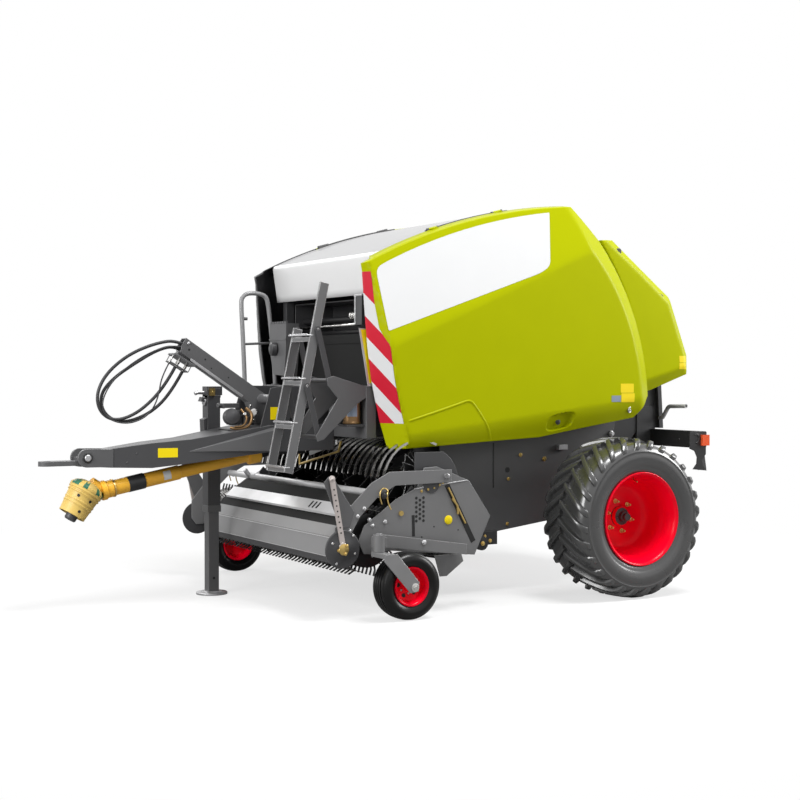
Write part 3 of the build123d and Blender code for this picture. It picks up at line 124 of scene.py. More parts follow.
def colour_mix(tree, share, first, second):
    """Mix of two colours, each a socket or a colour."""
    node = tree.nodes.new("ShaderNodeMix")
    node.data_type = "RGBA"
    tree.links.new(share, node.inputs["Factor"])
    for label, value in (("A", first), ("B", second)):
        socket = [s for s in node.inputs if s.name == label and s.type == "RGBA"][0]
        if isinstance(value, tuple):
            socket.default_value = (*value, 1.0)
        else:
            tree.links.new(value, socket)
    return [s for s in node.outputs if s.type == "RGBA"][0]


def make_dust_group():
    """Thin film of dust: more of it low down and in soft patches."""
    group, given, result = new_group(
        "settled_dust",
        [
            ("Color", "NodeSocketColor", (0.5, 0.5, 0.5, 1)),
            ("Dust", "NodeSocketColor", (0.20, 0.185, 0.16, 1)),
            ("Amount", "NodeSocketFloat", 0.3),
            ("Scale", "NodeSocketFloat", 3.0),
            ("Roughness", "NodeSocketFloat", 0.4),
        ],
        [("Color", "NodeSocketColor"), ("Roughness", "NodeSocketFloat"), ("Mask", "NodeSocketFloat")],
    )
    place = group.nodes.new("ShaderNodeTexCoord").outputs["Object"]
    patches = spread(group, noise(group, place, given.outputs["Scale"], 3.0), 0.3, 0.8, 0.0, 1.0)
    split = group.nodes.new("ShaderNodeSeparateXYZ")
    group.links.new(place, split.inputs[0])
    low = spread(group, split.outputs["Z"], 0.0, 1.6, 1.0, 0.25)
    mask = math_node(group, "MULTIPLY", math_node(group, "MULTIPLY", patches, low), given.outputs["Amount"])
    mixed = colour_mix(group, mask, given.outputs["Color"], given.outputs["Dust"])
    group.links.new(mixed, result.inputs["Color"])
    rough = math_node(group, "ADD", given.outputs["Roughness"], math_node(group, "MULTIPLY", mask, 0.5))
    group.links.new(rough, result.inputs["Roughness"])
    group.links.new(mask, result.inputs["Mask"])
    return group


def make_grain_group():
    """Fine uneven surface, as height for a bump, and slow changes of tone."""
    group, given, result = new_group(
        "fine_grain",
        [
            ("Scale", "NodeSocketFloat", 300.0), ("Coarse", "NodeSocketFloat", 5.0),
            ("Share", "NodeSocketFloat", 0.4),
        ],
        [("Height", "NodeSocketFloat"), ("Tone", "NodeSocketFloat")],
    )
    place = group.nodes.new("ShaderNodeTexCoord").outputs["Object"]
    fine = noise(group, place, given.outputs["Scale"], 3.0)
    coarse = noise(group, place, given.outputs["Coarse"], 2.0)
    height = math_node(
        group, "ADD", fine, math_node(group, "MULTIPLY", coarse, given.outputs["Share"])
    )
    group.links.new(height, result.inputs["Height"])
    group.links.new(spread(group, coarse, 0.25, 0.75, 0.0, 1.0), result.inputs["Tone"])
    return group


def make_edge_highlight_group():
    """Painted highlight along edges, found where the rounded normal leaves the flat one, broken up by noise."""
    group, given, result = new_group(
        "painted_edge_highlight",
        [
            ("Color", "NodeSocketColor", (0.5, 0.5, 0.5, 1)),
            ("Highlight Colour", "NodeSocketColor", (0.5, 0.5, 0.5, 1)),
            ("Amount", "NodeSocketFloat", 0.5),
            ("Radius", "NodeSocketFloat", 0.005),
        ],
        [("Color", "NodeSocketColor"), ("Mask", "NodeSocketFloat"), ("Normal", "NodeSocketVector")],
    )
    rounded = group.nodes.new("ShaderNodeBevel")
    rounded.samples = 4
    group.links.new(given.outputs["Radius"], rounded.inputs["Radius"])
    geometry = group.nodes.new("ShaderNodeNewGeometry")
    dot = group.nodes.new("ShaderNodeVectorMath")
    dot.operation = "DOT_PRODUCT"
    group.links.new(rounded.outputs["Normal"], dot.inputs[0])
    group.links.new(geometry.outputs["Normal"], dot.inputs[1])
    edge = spread(group, dot.outputs["Value"], 0.985, 0.86, 0.0, 1.0)
    place = group.nodes.new("ShaderNodeTexCoord").outputs["Object"]
    broken = spread(group, noise(group, place, 9.0, 4.0), 0.32, 0.6, 0.25, 1.0)
    mask = math_node(group, "MULTIPLY", math_node(group, "MULTIPLY", edge, broken), given.outputs["Amount"])
    mixed = colour_mix(group, mask, given.outputs["Color"], given.outputs["Highlight Colour"])
    group.links.new(mixed, result.inputs["Color"])
    group.links.new(mask, result.inputs["Mask"])
    group.links.new(rounded.outputs["Normal"], result.inputs["Normal"])
    return group


DUST = make_dust_group()
GRAIN = make_grain_group()
EDGE_HIGHLIGHT = make_edge_highlight_group()


def finish_material(
    name, colour, roughness, metallic=0.0, coat=0.0, specular=0.4, dust=0.03, highlight_amount=0.0, highlight_colour=(0.4, 0.4, 0.4),
    edge=0.005, grain=(400.0, 0.05), tone=0.04,
):
    """Painted, moulded or metal finish with tone changes, dust, rounded edges lit by a painted highlight, and fine
    grain.
    """
    material = bpy.data.materials.new(name)
    material.use_nodes = True
    tree = material.node_tree
    shader = tree.nodes["Principled BSDF"]
    shader.inputs["Metallic"].default_value = metallic
    shader.inputs["Coat Weight"].default_value = coat
    shader.inputs["Coat Roughness"].default_value = 0.08
    shader.inputs["Specular IOR Level"].default_value = specular
    surface = tree.nodes.new("ShaderNodeGroup")
    surface.node_tree = GRAIN
    surface.inputs["Scale"].default_value = grain[0]
    darker = tuple(c * (1 - tone) for c in colour)
    lighter = tuple(min(1.0, c * (1 + tone)) for c in colour)
    toned = colour_mix(tree, surface.outputs["Tone"], darker, lighter)
    bump = tree.nodes.new("ShaderNodeBump")
    bump.inputs["Strength"].default_value = grain[1]
    bump.inputs["Distance"].default_value = 0.001
    # Painted highlight: the rounded edges lighten towards the highlight colour.
    if highlight_amount:
        highlighted = tree.nodes.new("ShaderNodeGroup")
        highlighted.node_tree = EDGE_HIGHLIGHT
        highlighted.inputs["Highlight Colour"].default_value = (*highlight_colour, 1)
        highlighted.inputs["Amount"].default_value = highlight_amount
        highlighted.inputs["Radius"].default_value = edge
        tree.links.new(toned, highlighted.inputs["Color"])
        tree.links.new(highlighted.outputs["Normal"], bump.inputs["Normal"])
        toned = highlighted.outputs["Color"]
    dusty = tree.nodes.new("ShaderNodeGroup")
    dusty.node_tree = DUST
    dusty.inputs["Amount"].default_value = dust
    dusty.inputs["Roughness"].default_value = roughness
    tree.links.new(toned, dusty.inputs["Color"])
    tree.links.new(dusty.outputs["Color"], shader.inputs["Base Color"])
    tree.links.new(dusty.outputs["Roughness"], shader.inputs["Roughness"])
    tree.links.new(surface.outputs["Height"], bump.inputs["Height"])
    tree.links.new(bump.outputs["Normal"], shader.inputs["Normal"])
    return material


MATERIALS = {
    # Greyer copy of the white, painted shade for the top cover's upward faces.
    "pale": finish_material("lid_top_painted_shade", (0.36, 0.36, 0.365), 0.35, coat=0.2, dust=0.01, tone=0.01),
    "green": finish_material("green_gel_coat", (0.435, 0.474, 0.0005), 0.32, specular=0.06, dust=0.0, tone=0.015),
    "white": finish_material("white_gel_coat", (0.80, 0.80, 0.80), 0.3, coat=0.2, dust=0.01, tone=0.01),
    "grey": finish_material("grey_paint", (0.105, 0.105, 0.108), 0.4, highlight_amount=0.55, highlight_colour=(0.42, 0.42, 0.43)),
    "pickup": finish_material(
        "pickup_paint", (0.185, 0.185, 0.188), 0.32, coat=0.2, highlight_amount=0.7, highlight_colour=(0.55, 0.55, 0.55), dust=0.05
    ),
    "dark": finish_material("dark_paint", (0.055, 0.055, 0.058), 0.4, highlight_amount=0.5, highlight_colour=(0.25, 0.25, 0.25)),
    "black": finish_material("black_paint", (0.02, 0.02, 0.021), 0.38, highlight_amount=0.4, highlight_colour=(0.14, 0.14, 0.14)),
    "bright": finish_material(
        "galvanised", (0.50, 0.50, 0.51), 0.36, metallic=0.75, highlight_amount=0.5, highlight_colour=(0.85, 0.85, 0.85), dust=0.05, tone=0.1
    ),
    "steel": finish_material(
        "crop_polished_steel", (0.30, 0.29, 0.28), 0.3, metallic=0.9, highlight_amount=0.5, highlight_colour=(0.8, 0.8, 0.8),
        dust=0.08, tone=0.2,
    ),
    "tine": finish_material("tine_steel", (0.05, 0.05, 0.052), 0.38, metallic=0.5, dust=0.03),
    # Main tyres: rubber lightened as a painted sheen on sidewalls and tread.
    "tyre": finish_material(
        "tyre_rubber_painted_sheen", (0.042, 0.042, 0.0425), 0.27, specular=0.9, coat=0.25, dust=0.02, grain=(250.0, 0.12)
    ),
    # Gauge tyres: near-black copy of the rubber as painted shade.
    "caster_tyre": finish_material("caster_tyre_rubber_painted_shade", (0.003, 0.003, 0.003), 0.3, specular=0.3, dust=0.0),
    # Lighter copy of the guard's paint: painted light on its upward top ledge.
    "ledge": finish_material("guard_ledge_painted_light", (0.26, 0.26, 0.262), 0.4, coat=0.1, dust=0.05),
    "red": finish_material("red_paint", (1.0, 0.0008, 0.022), 0.25, specular=0.14, coat=0.0, dust=0.0, tone=0.05),
    "yellow": finish_material("yellow_guard", (1.0, 0.50, 0.04), 0.4, dust=0.06, tone=0.08),
    "cone": finish_material("guard_cone", (0.72, 0.50, 0.13), 0.42, dust=0.05, tone=0.08),
    "joint": finish_material("guard_joint", (0.03, 0.16, 0.09), 0.5, dust=0.05, tone=0.25),
    "rubber": finish_material("hose_rubber", (0.035, 0.035, 0.037), 0.45, dust=0.02, grain=(500.0, 0.2)),
    "chrome": finish_material("plated_steel", (0.66, 0.65, 0.63), 0.2, metallic=1.0, dust=0.02),
    "brass": finish_material("yellow_plated_steel", (0.60, 0.43, 0.15), 0.28, metallic=0.9, dust=0.03, tone=0.15),
    "copper": finish_material("copper_housing", (0.26, 0.155, 0.07), 0.32, metallic=0.7, dust=0.05, tone=0.3),
    "lens": finish_material("orange_lens", (0.85, 0.11, 0.03), 0.2, coat=0.5, dust=0.0),
    "sticker_yellow": finish_material("yellow_sticker", (0.93, 0.72, 0.0), 0.4, dust=0.0, tone=0.02),
    "sticker_white": finish_material("white_sticker", (0.74, 0.745, 0.75), 0.35, dust=0.0, tone=0.01),
    "sticker_red": finish_material("red_reflector", (0.60, 0.008, 0.03), 0.35, dust=0.0, tone=0.03),
    "sticker_blue": finish_material("grey_blue_sticker", (0.25, 0.30, 0.38), 0.4, dust=0.0),
    # Black finish for the canister and door insides; also painted shade on the right door's front and barrels.
    "black_plastic_and_shade": finish_material("black_plastic_and_painted_shade", (0.022, 0.022, 0.024), 0.4, dust=0.03, grain=(600.0, 0.2)),
    "case": finish_material("case_plastic", (0.120, 0.120, 0.123), 0.45, dust=0.03, grain=(600.0, 0.2)),
    "blade": finish_material(
        "rotor_blade", (0.03, 0.03, 0.03), 0.3, metallic=0.8, highlight_amount=0.35, highlight_colour=(0.7, 0.7, 0.7), edge=0.007, dust=0.0
    ),
    "caster": finish_material(
        "caster_paint", (0.26, 0.26, 0.265), 0.34, metallic=0.3, highlight_amount=0.5, highlight_colour=(0.8, 0.8, 0.8), dust=0.04, tone=0.1
    ),
    "pale_steel": finish_material("pale_steel", (0.55, 0.55, 0.555), 0.32, metallic=0.3, dust=0.06, tone=0.12),
    "linkage": finish_material(
        "linkage_steel", (0.58, 0.52, 0.50), 0.34, metallic=0.5, highlight_amount=0.4, highlight_colour=(0.9, 0.85, 0.8), dust=0.08, tone=0.2
    ),
    # Ladder rails: near-white painted highlight along their edges.
    "ladder": finish_material(
        "ladder_paint", (0.15, 0.15, 0.153), 0.38, highlight_amount=1.0, highlight_colour=(0.95, 0.95, 0.95), edge=0.009, dust=0.03
    ),
    "rail": finish_material("rail_paint", (0.26, 0.26, 0.265), 0.3, coat=0.3, dust=0.02),
    # Near-black sheet finish that stands in for shade: painted shade.
    "shade": finish_material("painted_shade_steel", (0.022, 0.022, 0.022), 0.75, specular=0.1, dust=0.02),
    # Black rubber for the seals; also painted shade in holes, slots and openings.
    "seal": finish_material("rubber_seal_and_hole_shade", (0.010, 0.010, 0.010), 0.5, dust=0.0),
}

NODE_FINISH = {
    "green": ["door_left", "door_right", "tailgate_cover_left", "tailgate_cover_right"],
    "white": ["lid", "top_panel"],
    "grey": [
        "side_plate_left", "side_plate_right", "front_frame", "hose_arm", "jack_leg", "hitch_eye", "handrail",
    ],
    "pickup": ["windguard", "pickup_side_left", "pickup_side_right"],
    "dark": [
        "drawbar", "jack_sleeve", "axle_beam", "top_frame", "chamber_wall_left", "chamber_wall_right",
        "tailgate_frame", "pickup_frame", "net_housing", "auger_trough_left", "auger_trough_right", "feed_trough", "ladder_link_lower",
        "ladder_link_upper", "control_box", "light_bar",
    ],
    "black": ["gearbox", "net_shafts"],
    "pale_steel": ["rear_handle"],
    "caster": ["caster_left", "caster_right"],
    "blade": ["feed_rotor"],
    "steel": ["front_rollers", "tailgate_rollers", "pickup_bands"],
    "chrome": ["hose_couplings"],
    "tine": ["pickup_reel"],
    "tyre": ["main_tyre_left", "main_tyre_right", "gauge_tyre_left", "gauge_tyre_right"],
    "red": ["main_rim_left", "main_rim_right", "gauge_rim_left", "gauge_rim_right"],
    "yellow": ["pto_shaft"],
    "cone": ["pto_yoke"],
    "rubber": ["hose_left", "hose_right", "hose_cable"],
    "lens": ["tail_lamps"],
    "black_plastic_and_shade": ["oil_canister"],
    "ladder": ["ladder"],
}


def dress_nodes():
    """Give each CAD node its finish."""
    for finish, names in NODE_FINISH.items():
        for name in names:
            mesh = nodes[name].data
            mesh.materials.clear()
            mesh.materials.append(MATERIALS[finish])
            for polygon in mesh.polygons:
                polygon.material_index = 0


dress_nodes()


def pale_floor():
    """Round pale floor that keeps the shadow and turns white further out and round the horizon."""
    bpy.ops.mesh.primitive_circle_add(vertices=96, radius=30, fill_type="NGON", location=(0, 0, 0))
    floor = bpy.context.object
    floor.name = "studio_floor"
    material = bpy.data.materials.new("pale_floor")
    material.use_nodes = True
    tree = material.node_tree
    shader = tree.nodes["Principled BSDF"]
    shader.inputs["Base Color"].default_value = (*FLOOR_COLOUR, 1)
    shader.inputs["Roughness"].default_value = 0.95
    shader.inputs["Specular IOR Level"].default_value = 0.0
    glow = tree.nodes.new("ShaderNodeEmission")
    glow.inputs["Strength"].default_value = FLOOR_GLOW
    both = tree.nodes.new("ShaderNodeAddShader")
    far_white = tree.nodes.new("ShaderNodeEmission")
    place = tree.nodes.new("ShaderNodeTexCoord").outputs["Object"]
    distance = tree.nodes.new("ShaderNodeVectorMath")
    distance.operation = "LENGTH"
    tree.links.new(place, distance.inputs[0])
    far = spread(tree, distance.outputs["Value"], *FLOOR_FADE, 0.0, 1.0)
    fade = tree.nodes.new("ShaderNodeMixShader")
    paths = tree.nodes.new("ShaderNodeLightPath")
    seen = tree.nodes.new("ShaderNodeMixShader")
    tree.links.new(shader.outputs[0], both.inputs[0])
    tree.links.new(glow.outputs[0], both.inputs[1])
    tree.links.new(far, fade.inputs[0])
    tree.links.new(both.outputs[0], fade.inputs[1])
    tree.links.new(far_white.outputs[0], fade.inputs[2])
    tree.links.new(paths.outputs["Is Camera Ray"], seen.inputs[0])
    tree.links.new(shader.outputs[0], seen.inputs[1])
    tree.links.new(fade.outputs[0], seen.inputs[2])
    tree.links.new(seen.outputs[0], tree.nodes["Material Output"].inputs["Surface"])
    floor.data.materials.append(material)


def white_surroundings():
    """World that the camera and reflections see as white, and that lights the machine softly."""
    world = bpy.data.worlds.new("studio")
    bpy.context.scene.world = world
    world.use_nodes = True
    tree = world.node_tree
    paths = tree.nodes.new("ShaderNodeLightPath")
    seen = math_node(tree, "MAXIMUM", paths.outputs["Is Camera Ray"], paths.outputs["Is Glossy Ray"])
    seen = math_node(tree, "MAXIMUM", seen, paths.outputs["Is Transmission Ray"])
    strength = spread(tree, seen, 0.0, 1.0, SKY_LIGHT, 1.0)
    background = tree.nodes["Background"]
    background.inputs["Color"].default_value = (1, 1, 1, 1)
    tree.links.new(strength, background.inputs["Strength"])


def studio_lamps():
    """Four large soft lamps."""
    for name, place, aim, size, power in LAMPS:
        lamp = bpy.data.lights.new(name, "AREA")
        lamp.energy = power
        lamp.size = size
        holder = bpy.data.objects.new(name, lamp)
        bpy.context.scene.collection.objects.link(holder)
        holder.location = place
        holder.rotation_euler = (Vector(aim) - Vector(place)).to_track_quat("-Z", "Y").to_euler()


def photograph_camera():
    """Camera at the photograph's place, seeing the machine from its front left."""
    camera = bpy.data.cameras.new("camera")
    camera.lens = FOCAL_MM
    camera.sensor_width = 36.0
    camera.clip_end = 200.0
    holder = bpy.data.objects.new("camera", camera)
    bpy.context.scene.collection.objects.link(holder)
    holder.location = CAMERA_AT
    flat = math.cos(LOOK_DOWN)
    way = Vector((LOOK[0] * flat, LOOK[1] * flat, -math.sin(LOOK_DOWN)))
    holder.rotation_euler = way.to_track_quat("-Z", "Y").to_euler()
    bpy.context.scene.camera = holder
    bpy.context.scene.view_settings.view_transform = "Standard"


pale_floor()
white_surroundings()
studio_lamps()
photograph_camera()


# Mesh helpers
def join_rows(bm, rows, closed=False):
    """Faces between neighbouring rows of points; closed rows are rings."""
    for low, high in zip(rows, rows[1:]):
        for i in range(len(low) if closed else len(low) - 1):
            k = (i + 1) % len(low)
            bm.faces.new((low[i], low[k], high[k], high[i]))


def join_rings(bm, rings):
    """Closed skin over a stack of rings, with a flat face at each end."""
    join_rows(bm, rings, closed=True)
    bm.faces.new(list(reversed(rings[0])))
    bm.faces.new(rings[-1])


def turned(bm, steps, place, axis, sides=24, shift=0.0):
    """Turned form: rings of the given distance along the axis and radius, closed at both ends."""
    turn = axis.normalized().to_track_quat("Z", "Y").to_matrix()
    rings = []
    for along, radius in steps:
        ring = []
        for i in range(sides):
            angle = 2 * math.pi * (i + shift) / sides
            ring.append(
                bm.verts.new(
                    place + turn @ Vector((radius * math.cos(angle), radius * math.sin(angle), along)),
                ),
            )
        rings.append(ring)
    join_rings(bm, rings)


def mesh_object(name, bm, finish, sharp):
    """Object made from a mesh, smooth except at its sharp edges."""
    mesh = bpy.data.meshes.new(name)
    bm.to_mesh(mesh)
    bm.free()
    for polygon in mesh.polygons:
        polygon.use_smooth = True
    mesh.set_sharp_from_angle(angle=math.radians(sharp))
    mesh.materials.append(MATERIALS[finish])
    piece = bpy.data.objects.new(name, mesh)
    bpy.context.scene.collection.objects.link(piece)
    return piece


def mount(piece, body):
    """Let a piece ride on a body."""
    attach(piece, body)
    return piece


def new_piece(name, bm, body, finish, sharp=30):
    """Closed piece that rides on a body."""
    bmesh.ops.recalc_face_normals(bm, faces=bm.faces)
    return mount(mesh_object(name, bm, finish, sharp), body)


def make(name, body, finish, shapes, stands_for=None, sharp=30):
    """Piece built from shapes, each a mesh helper and its measures; it may stand for a CAD node."""
    bm = bmesh.new()
    for add, *measures in shapes:
        add(bm, *measures)
    piece = new_piece(name, bm, body, finish, sharp)
    if stands_for:
        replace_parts(piece, stands_for)
    return piece


def add_slab(bm, outline, y_low, y_high):
    """Flat plate in the side view between two distances to the left."""
    low = [bm.verts.new((x, y_low, z)) for x, z in outline]
    high = [bm.verts.new((x, y_high, z)) for x, z in outline]
    join_rings(bm, [low, high])


def add_block(bm, low, high):
    """Block between two corners."""
    (x1, y1, z1), (x2, y2, z2) = low, high
    add_slab(bm, ((x1, z1), (x2, z1), (x2, z2), (x1, z2)), y1, y2)


def add_bar(bm, start, end, wide, thick, up=(0, 1, 0)):
    """Flat bar between two points; wide is measured across up."""
    start, end, up = Vector(start), Vector(end), Vector(up)
    way = (end - start).normalized()
    across = way.cross(up).normalized() * wide / 2
    rise = across.cross(way).normalized() * thick / 2
    rings = []
    for place in (start, end):
        corners = ((-1, -1), (1, -1), (1, 1), (-1, 1))
        rings.append([bm.verts.new(place + a * across + b * rise) for a, b in corners])
    join_rings(bm, rings)


def add_pipe(bm, points, radius, sides=12):
    """Round tube through points, with flat ends."""
    points = [Vector(p) for p in points]
    ways = [(points[min(i + 1, len(points) - 1)] - points[max(i - 1, 0)]).normalized() for i in range(len(points))]
    side = ways[0].orthogonal().normalized()
    rings = []
    for place, way in zip(points, ways):
        side = (side - way * side.dot(way)).normalized()
        other = way.cross(side)
        ring = []
        for i in range(sides):
            turn = 2 * math.pi * i / sides
            ring.append(bm.verts.new(place + radius * (math.cos(turn) * side + math.sin(turn) * other)))
        rings.append(ring)
    join_rings(bm, rings)


def add_bolt(bm, place, axis, radius=0.010):
    """Bolt head on its washer, standing on a surface."""
    place, axis = Vector(place), Vector(axis)
    k = radius / 0.010
    turned(bm, [(0, 0.0125 * k), (0.0022 * k, 0.0125 * k), (0.0026 * k, 0.0118 * k)], place, axis, 16)
    turned(bm, [(0.002 * k, 0.0095 * k), (0.0080 * k, 0.0095 * k), (0.0092 * k, 0.0080 * k)], place, axis, 6)


def add_bolts(bm, spots, y, axis):
    """Bolts on a face of the side view; spots are (x, z, radius)."""
    for x, z, radius in spots:
        add_bolt(bm, (x, y, z), axis, radius)


def smoothed(points, steps=6):
    """Points on the smooth curve through the given ones."""
    points = [Vector(p) for p in points]
    line = [points[0]]
    for i in range(len(points) - 1):
        a, b, c, d = points[max(i - 1, 0)], points[i], points[i + 1], points[min(i + 2, len(points) - 1)]
        for k in range(1, steps + 1):
            t = k / steps
            square, cube = 2 * a - 5 * b + 4 * c - d, 3 * b - a - 3 * c + d
            line.append(0.5 * (2 * b + (c - a) * t + square * t * t + cube * t ** 3))
    return line


def lathe(bm, profile, place, sides=96, side=1, closed=True):
    """Form turned about the cross axis; profile points are (radius, distance outward from place)."""
    place = Vector(place)
    rings = []
    for radius, out in profile:
        ring = []
        for i in range(sides):
            turn = 2 * math.pi * i / sides
            offset = Vector((radius * math.cos(turn), side * out, radius * math.sin(turn)))
            ring.append(bm.verts.new(place + offset))
        rings.append(ring)
    join_rows(bm, rings + rings[:1] if closed else rings, closed=True)
    bmesh.ops.remove_doubles(bm, verts=bm.verts, dist=1e-6)


# Hoses, whose routes are those of the CAD tubes
HOSES = {
    "hose_left": (
        0.008, 0.0105,
        (
            (1.202, 1.629), (1.318, 1.704), (1.480, 1.680), (1.660, 1.606), (1.800, 1.492), (1.866, 1.370),
            (1.855, 1.262), (1.785, 1.198), (1.688, 1.198), (1.560, 1.262), (1.417, 1.402), (1.342, 1.532),
        ),
    ),
    "hose_right": (
        -0.014, 0.0105,
        (
            (1.221, 1.600), (1.325, 1.668), (1.455, 1.640), (1.610, 1.550), (1.745, 1.462), (1.834, 1.362),
            (1.826, 1.258), (1.758, 1.192), (1.652, 1.178), (1.490, 1.242), (1.361, 1.369), (1.286, 1.499),
        ),
    ),
    "hose_cable": (
        0.026, 0.0045,
        (
            (1.214, 1.612), (1.290, 1.661), (1.400, 1.662), (1.510, 1.625), (1.620, 1.565), (1.720, 1.490),
            (1.800, 1.400), (1.842, 1.300), (1.815, 1.215), (1.740, 1.178), (1.650, 1.172), (1.560, 1.205),
            (1.500, 1.262), (1.462, 1.352), (1.445, 1.464), (1.390, 1.559),
        ),
    ),
}

# Rack under the arm's tip, and the couplings in it: distance back, to the left, and radius
RACK_TIP = Vector((1.361, 0, 1.619))
RACK_BACK = Vector((-math.cos(math.radians(30)), 0, -math.sin(math.radians(30))))
RACK_UP = Vector((-math.sin(math.radians(30)), 0, math.cos(math.radians(30))))
COUPLINGS = {
    "hose_left": (0.060, 0.008, 0.014),
    "hose_right": (0.125, -0.014, 0.009),
    "hose_cable": (0.005, 0.026, 0.006),
}
COUPLING_STEPS = (
    (0.066, 0.80), (0.062, 1.0), (0.050, 1.0), (0.048, 0.86), (0.042, 0.86), (0.040, 1.0), (0.024, 1.0),
    (0.022, 0.78), (0.012, 0.78),
)


def make_coupling(hose):
    """Quick coupling in the rack, at the end of one hose."""
    back, y, radius = COUPLINGS[hose]
    bm = bmesh.new()
    steps = [(-along, radius * share) for along, share in COUPLING_STEPS]
    turned(bm, steps, RACK_TIP + RACK_BACK * back + Vector((0, y, 0)), RACK_UP)
    coupling = new_piece(hose.replace("hose", "coupling"), bm, "frame", "chrome")
    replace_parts(coupling, "hose_couplings")
    return coupling


def make_hose(name):
    """Hose as one smooth curve along its route, with its coupling."""
    y, radius, route = HOSES[name]
    curve = bpy.data.curves.new(name + "_line", "CURVE")
    curve.dimensions = "3D"
    curve.bevel_depth = radius
    curve.bevel_resolution = 5
    curve.resolution_u = 12
    curve.use_fill_caps = True
    spline = curve.splines.new("NURBS")
    spline.points.add(len(route) - 1)
    for point, (x, z) in zip(spline.points, route):
        point.co = (x, y, z, 1.0)
    spline.order_u = 3
    spline.use_endpoint_u = True
    curve.materials.append(MATERIALS["rubber"])
    piece = bpy.data.objects.new(name + "_soft", curve)
    bpy.context.scene.collection.objects.link(piece)
    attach(piece, "frame")
    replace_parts(piece, name)
    x, z = route[0]
    make_coupling(name)
    return piece


for hose_name in HOSES:
    make_hose(hose_name)

# Hood panels: smooth skins over the side view, soft where two faces meet
def soft_lowest(values, width):
    """Lowest of several values, blended where two are close."""
    low = values[0]
    for value in values[1:]:
        near = max(width - abs(low - value), 0.0) / width
        low = min(low, value) - near * near * width / 4
    return low


def plane_height(x, z, point, normal):
    """Distance to the left of a plane above a place of the side view."""
    return point[1] - (normal[0] * (x - point[0]) + normal[2] * (z - point[2])) / normal[1]


CREASE_TURN = math.atan2(CREASE_REAR[1] - CREASE_FRONT[1], CREASE_FRONT[0] - CREASE_REAR[0])
BOTTOM_TURN = math.atan2(0.140, 1.208)
UPPER_PLANE = (
    (CREASE_FRONT[0], DOOR_OUT, CREASE_FRONT[1]),
    (math.sin(LEAN) * math.sin(CREASE_TURN), math.cos(LEAN), math.sin(LEAN) * math.cos(CREASE_TURN)),
)
FRONT_EDGE = (
    (0.218, 1.010), (0.269, 1.168), (0.302, 1.304), (0.336, 1.460), (0.361, 1.653), (0.374, 1.788),
    (0.386, 1.942), (0.400, 2.130), (0.410, 2.180),
)
FRONT_IN = 0.790
FRONT_SLOPE = 2.8
FRONT_DEEP = (DOOR_OUT - FRONT_IN) / FRONT_SLOPE
BOTTOM_PLANE = (
    (-0.469, DOOR_OUT, 1.150),
    (-math.sin(TUCK) * math.sin(BOTTOM_TURN), math.cos(TUCK), -math.sin(TUCK) * math.cos(BOTTOM_TURN)),
)
RIDGE = ((0.330, 2.236), (-0.385, 2.503), (-1.172, 2.631))
LOCK = (-1.028, 1.166)


def front_edge(z):
    """Foremost x of a side door at a height."""
    z = max(min(z, FRONT_EDGE[-1][1]), FRONT_EDGE[0][1])
    for (x1, z1), (x2, z2) in zip(FRONT_EDGE, FRONT_EDGE[1:]):
        if z <= z2:
            return x1 + (x2 - x1) * (z - z1) / (z2 - z1)
    return FRONT_EDGE[-1][0]


def circle_of(a, b, c):
    """Centre and radius of the circle through three points."""
    d = 2 * (a[0] * (b[1] - c[1]) + b[0] * (c[1] - a[1]) + c[0] * (a[1] - b[1]))
    q = [p[0] ** 2 + p[1] ** 2 for p in (a, b, c)]
    x = (q[0] * (b[1] - c[1]) + q[1] * (c[1] - a[1]) + q[2] * (a[1] - b[1])) / d
    z = (q[0] * (c[0] - b[0]) + q[1] * (a[0] - c[0]) + q[2] * (b[0] - a[0])) / d
    return x, z, math.hypot(a[0] - x, a[1] - z)


RIDGE_CIRCLE = circle_of(*RIDGE)


def ridge_height(x):
    """Height of the ridge line above x."""
    return RIDGE_CIRCLE[1] + math.sqrt(RIDGE_CIRCLE[2] ** 2 - (x - RIDGE_CIRCLE[0]) ** 2)


def held_ridge(x):
    """Ridge height, held level beyond the door's ends."""
    return ridge_height(max(min(x, 0.33), -1.17))


def door_skin(x, z):
    """Outside of a side door above a place of the side view."""
    reach = math.hypot(x - SEAM[0], z - SEAM[1])
    height = soft_lowest(
        [
            DOOR_OUT + 0.002,
            plane_height(x, z, *UPPER_PLANE),
            DOOR_OUT + 0.001 - (reach - 1.5) * 0.644,
        ],
        0.010,
    )
    height = soft_lowest([height, plane_height(x, z, *BOTTOM_PLANE) + 0.004], 0.030)
    height = soft_lowest([height, FRONT_IN + FRONT_SLOPE * (front_edge(z) - x)], 0.020)
    height = soft_lowest([height, DOOR_OUT - 0.012 + (held_ridge(x) - z) * 0.9 - 0.070], 0.02)
    across, down = (x - LOCK[0]) / 0.108, (z - LOCK[1] + 0.17 * (x - LOCK[0])) / 0.053
    inside = max(abs(across) ** 3.2 + abs(down) ** 3.2, 1e-6) ** (1 / 3.2)
    height -= 0.028 * max(0.0, min(1.0, (1.06 - inside) / 0.14))
    return min(height, DOOR_OUT)


def arc_points(start, middle, end, count):
    """Points on the circle through three points, from start to end."""
    x, z, radius = circle_of(start, middle, end)
    first = math.atan2(start[1] - z, start[0] - x)
    turn = (math.atan2(end[1] - z, end[0] - x) - first + math.pi) % (2 * math.pi) - math.pi
    return [
        (x + radius * math.cos(first + turn * i / count), z + radius * math.sin(first + turn * i / count))
        for i in range(count + 1)
    ]


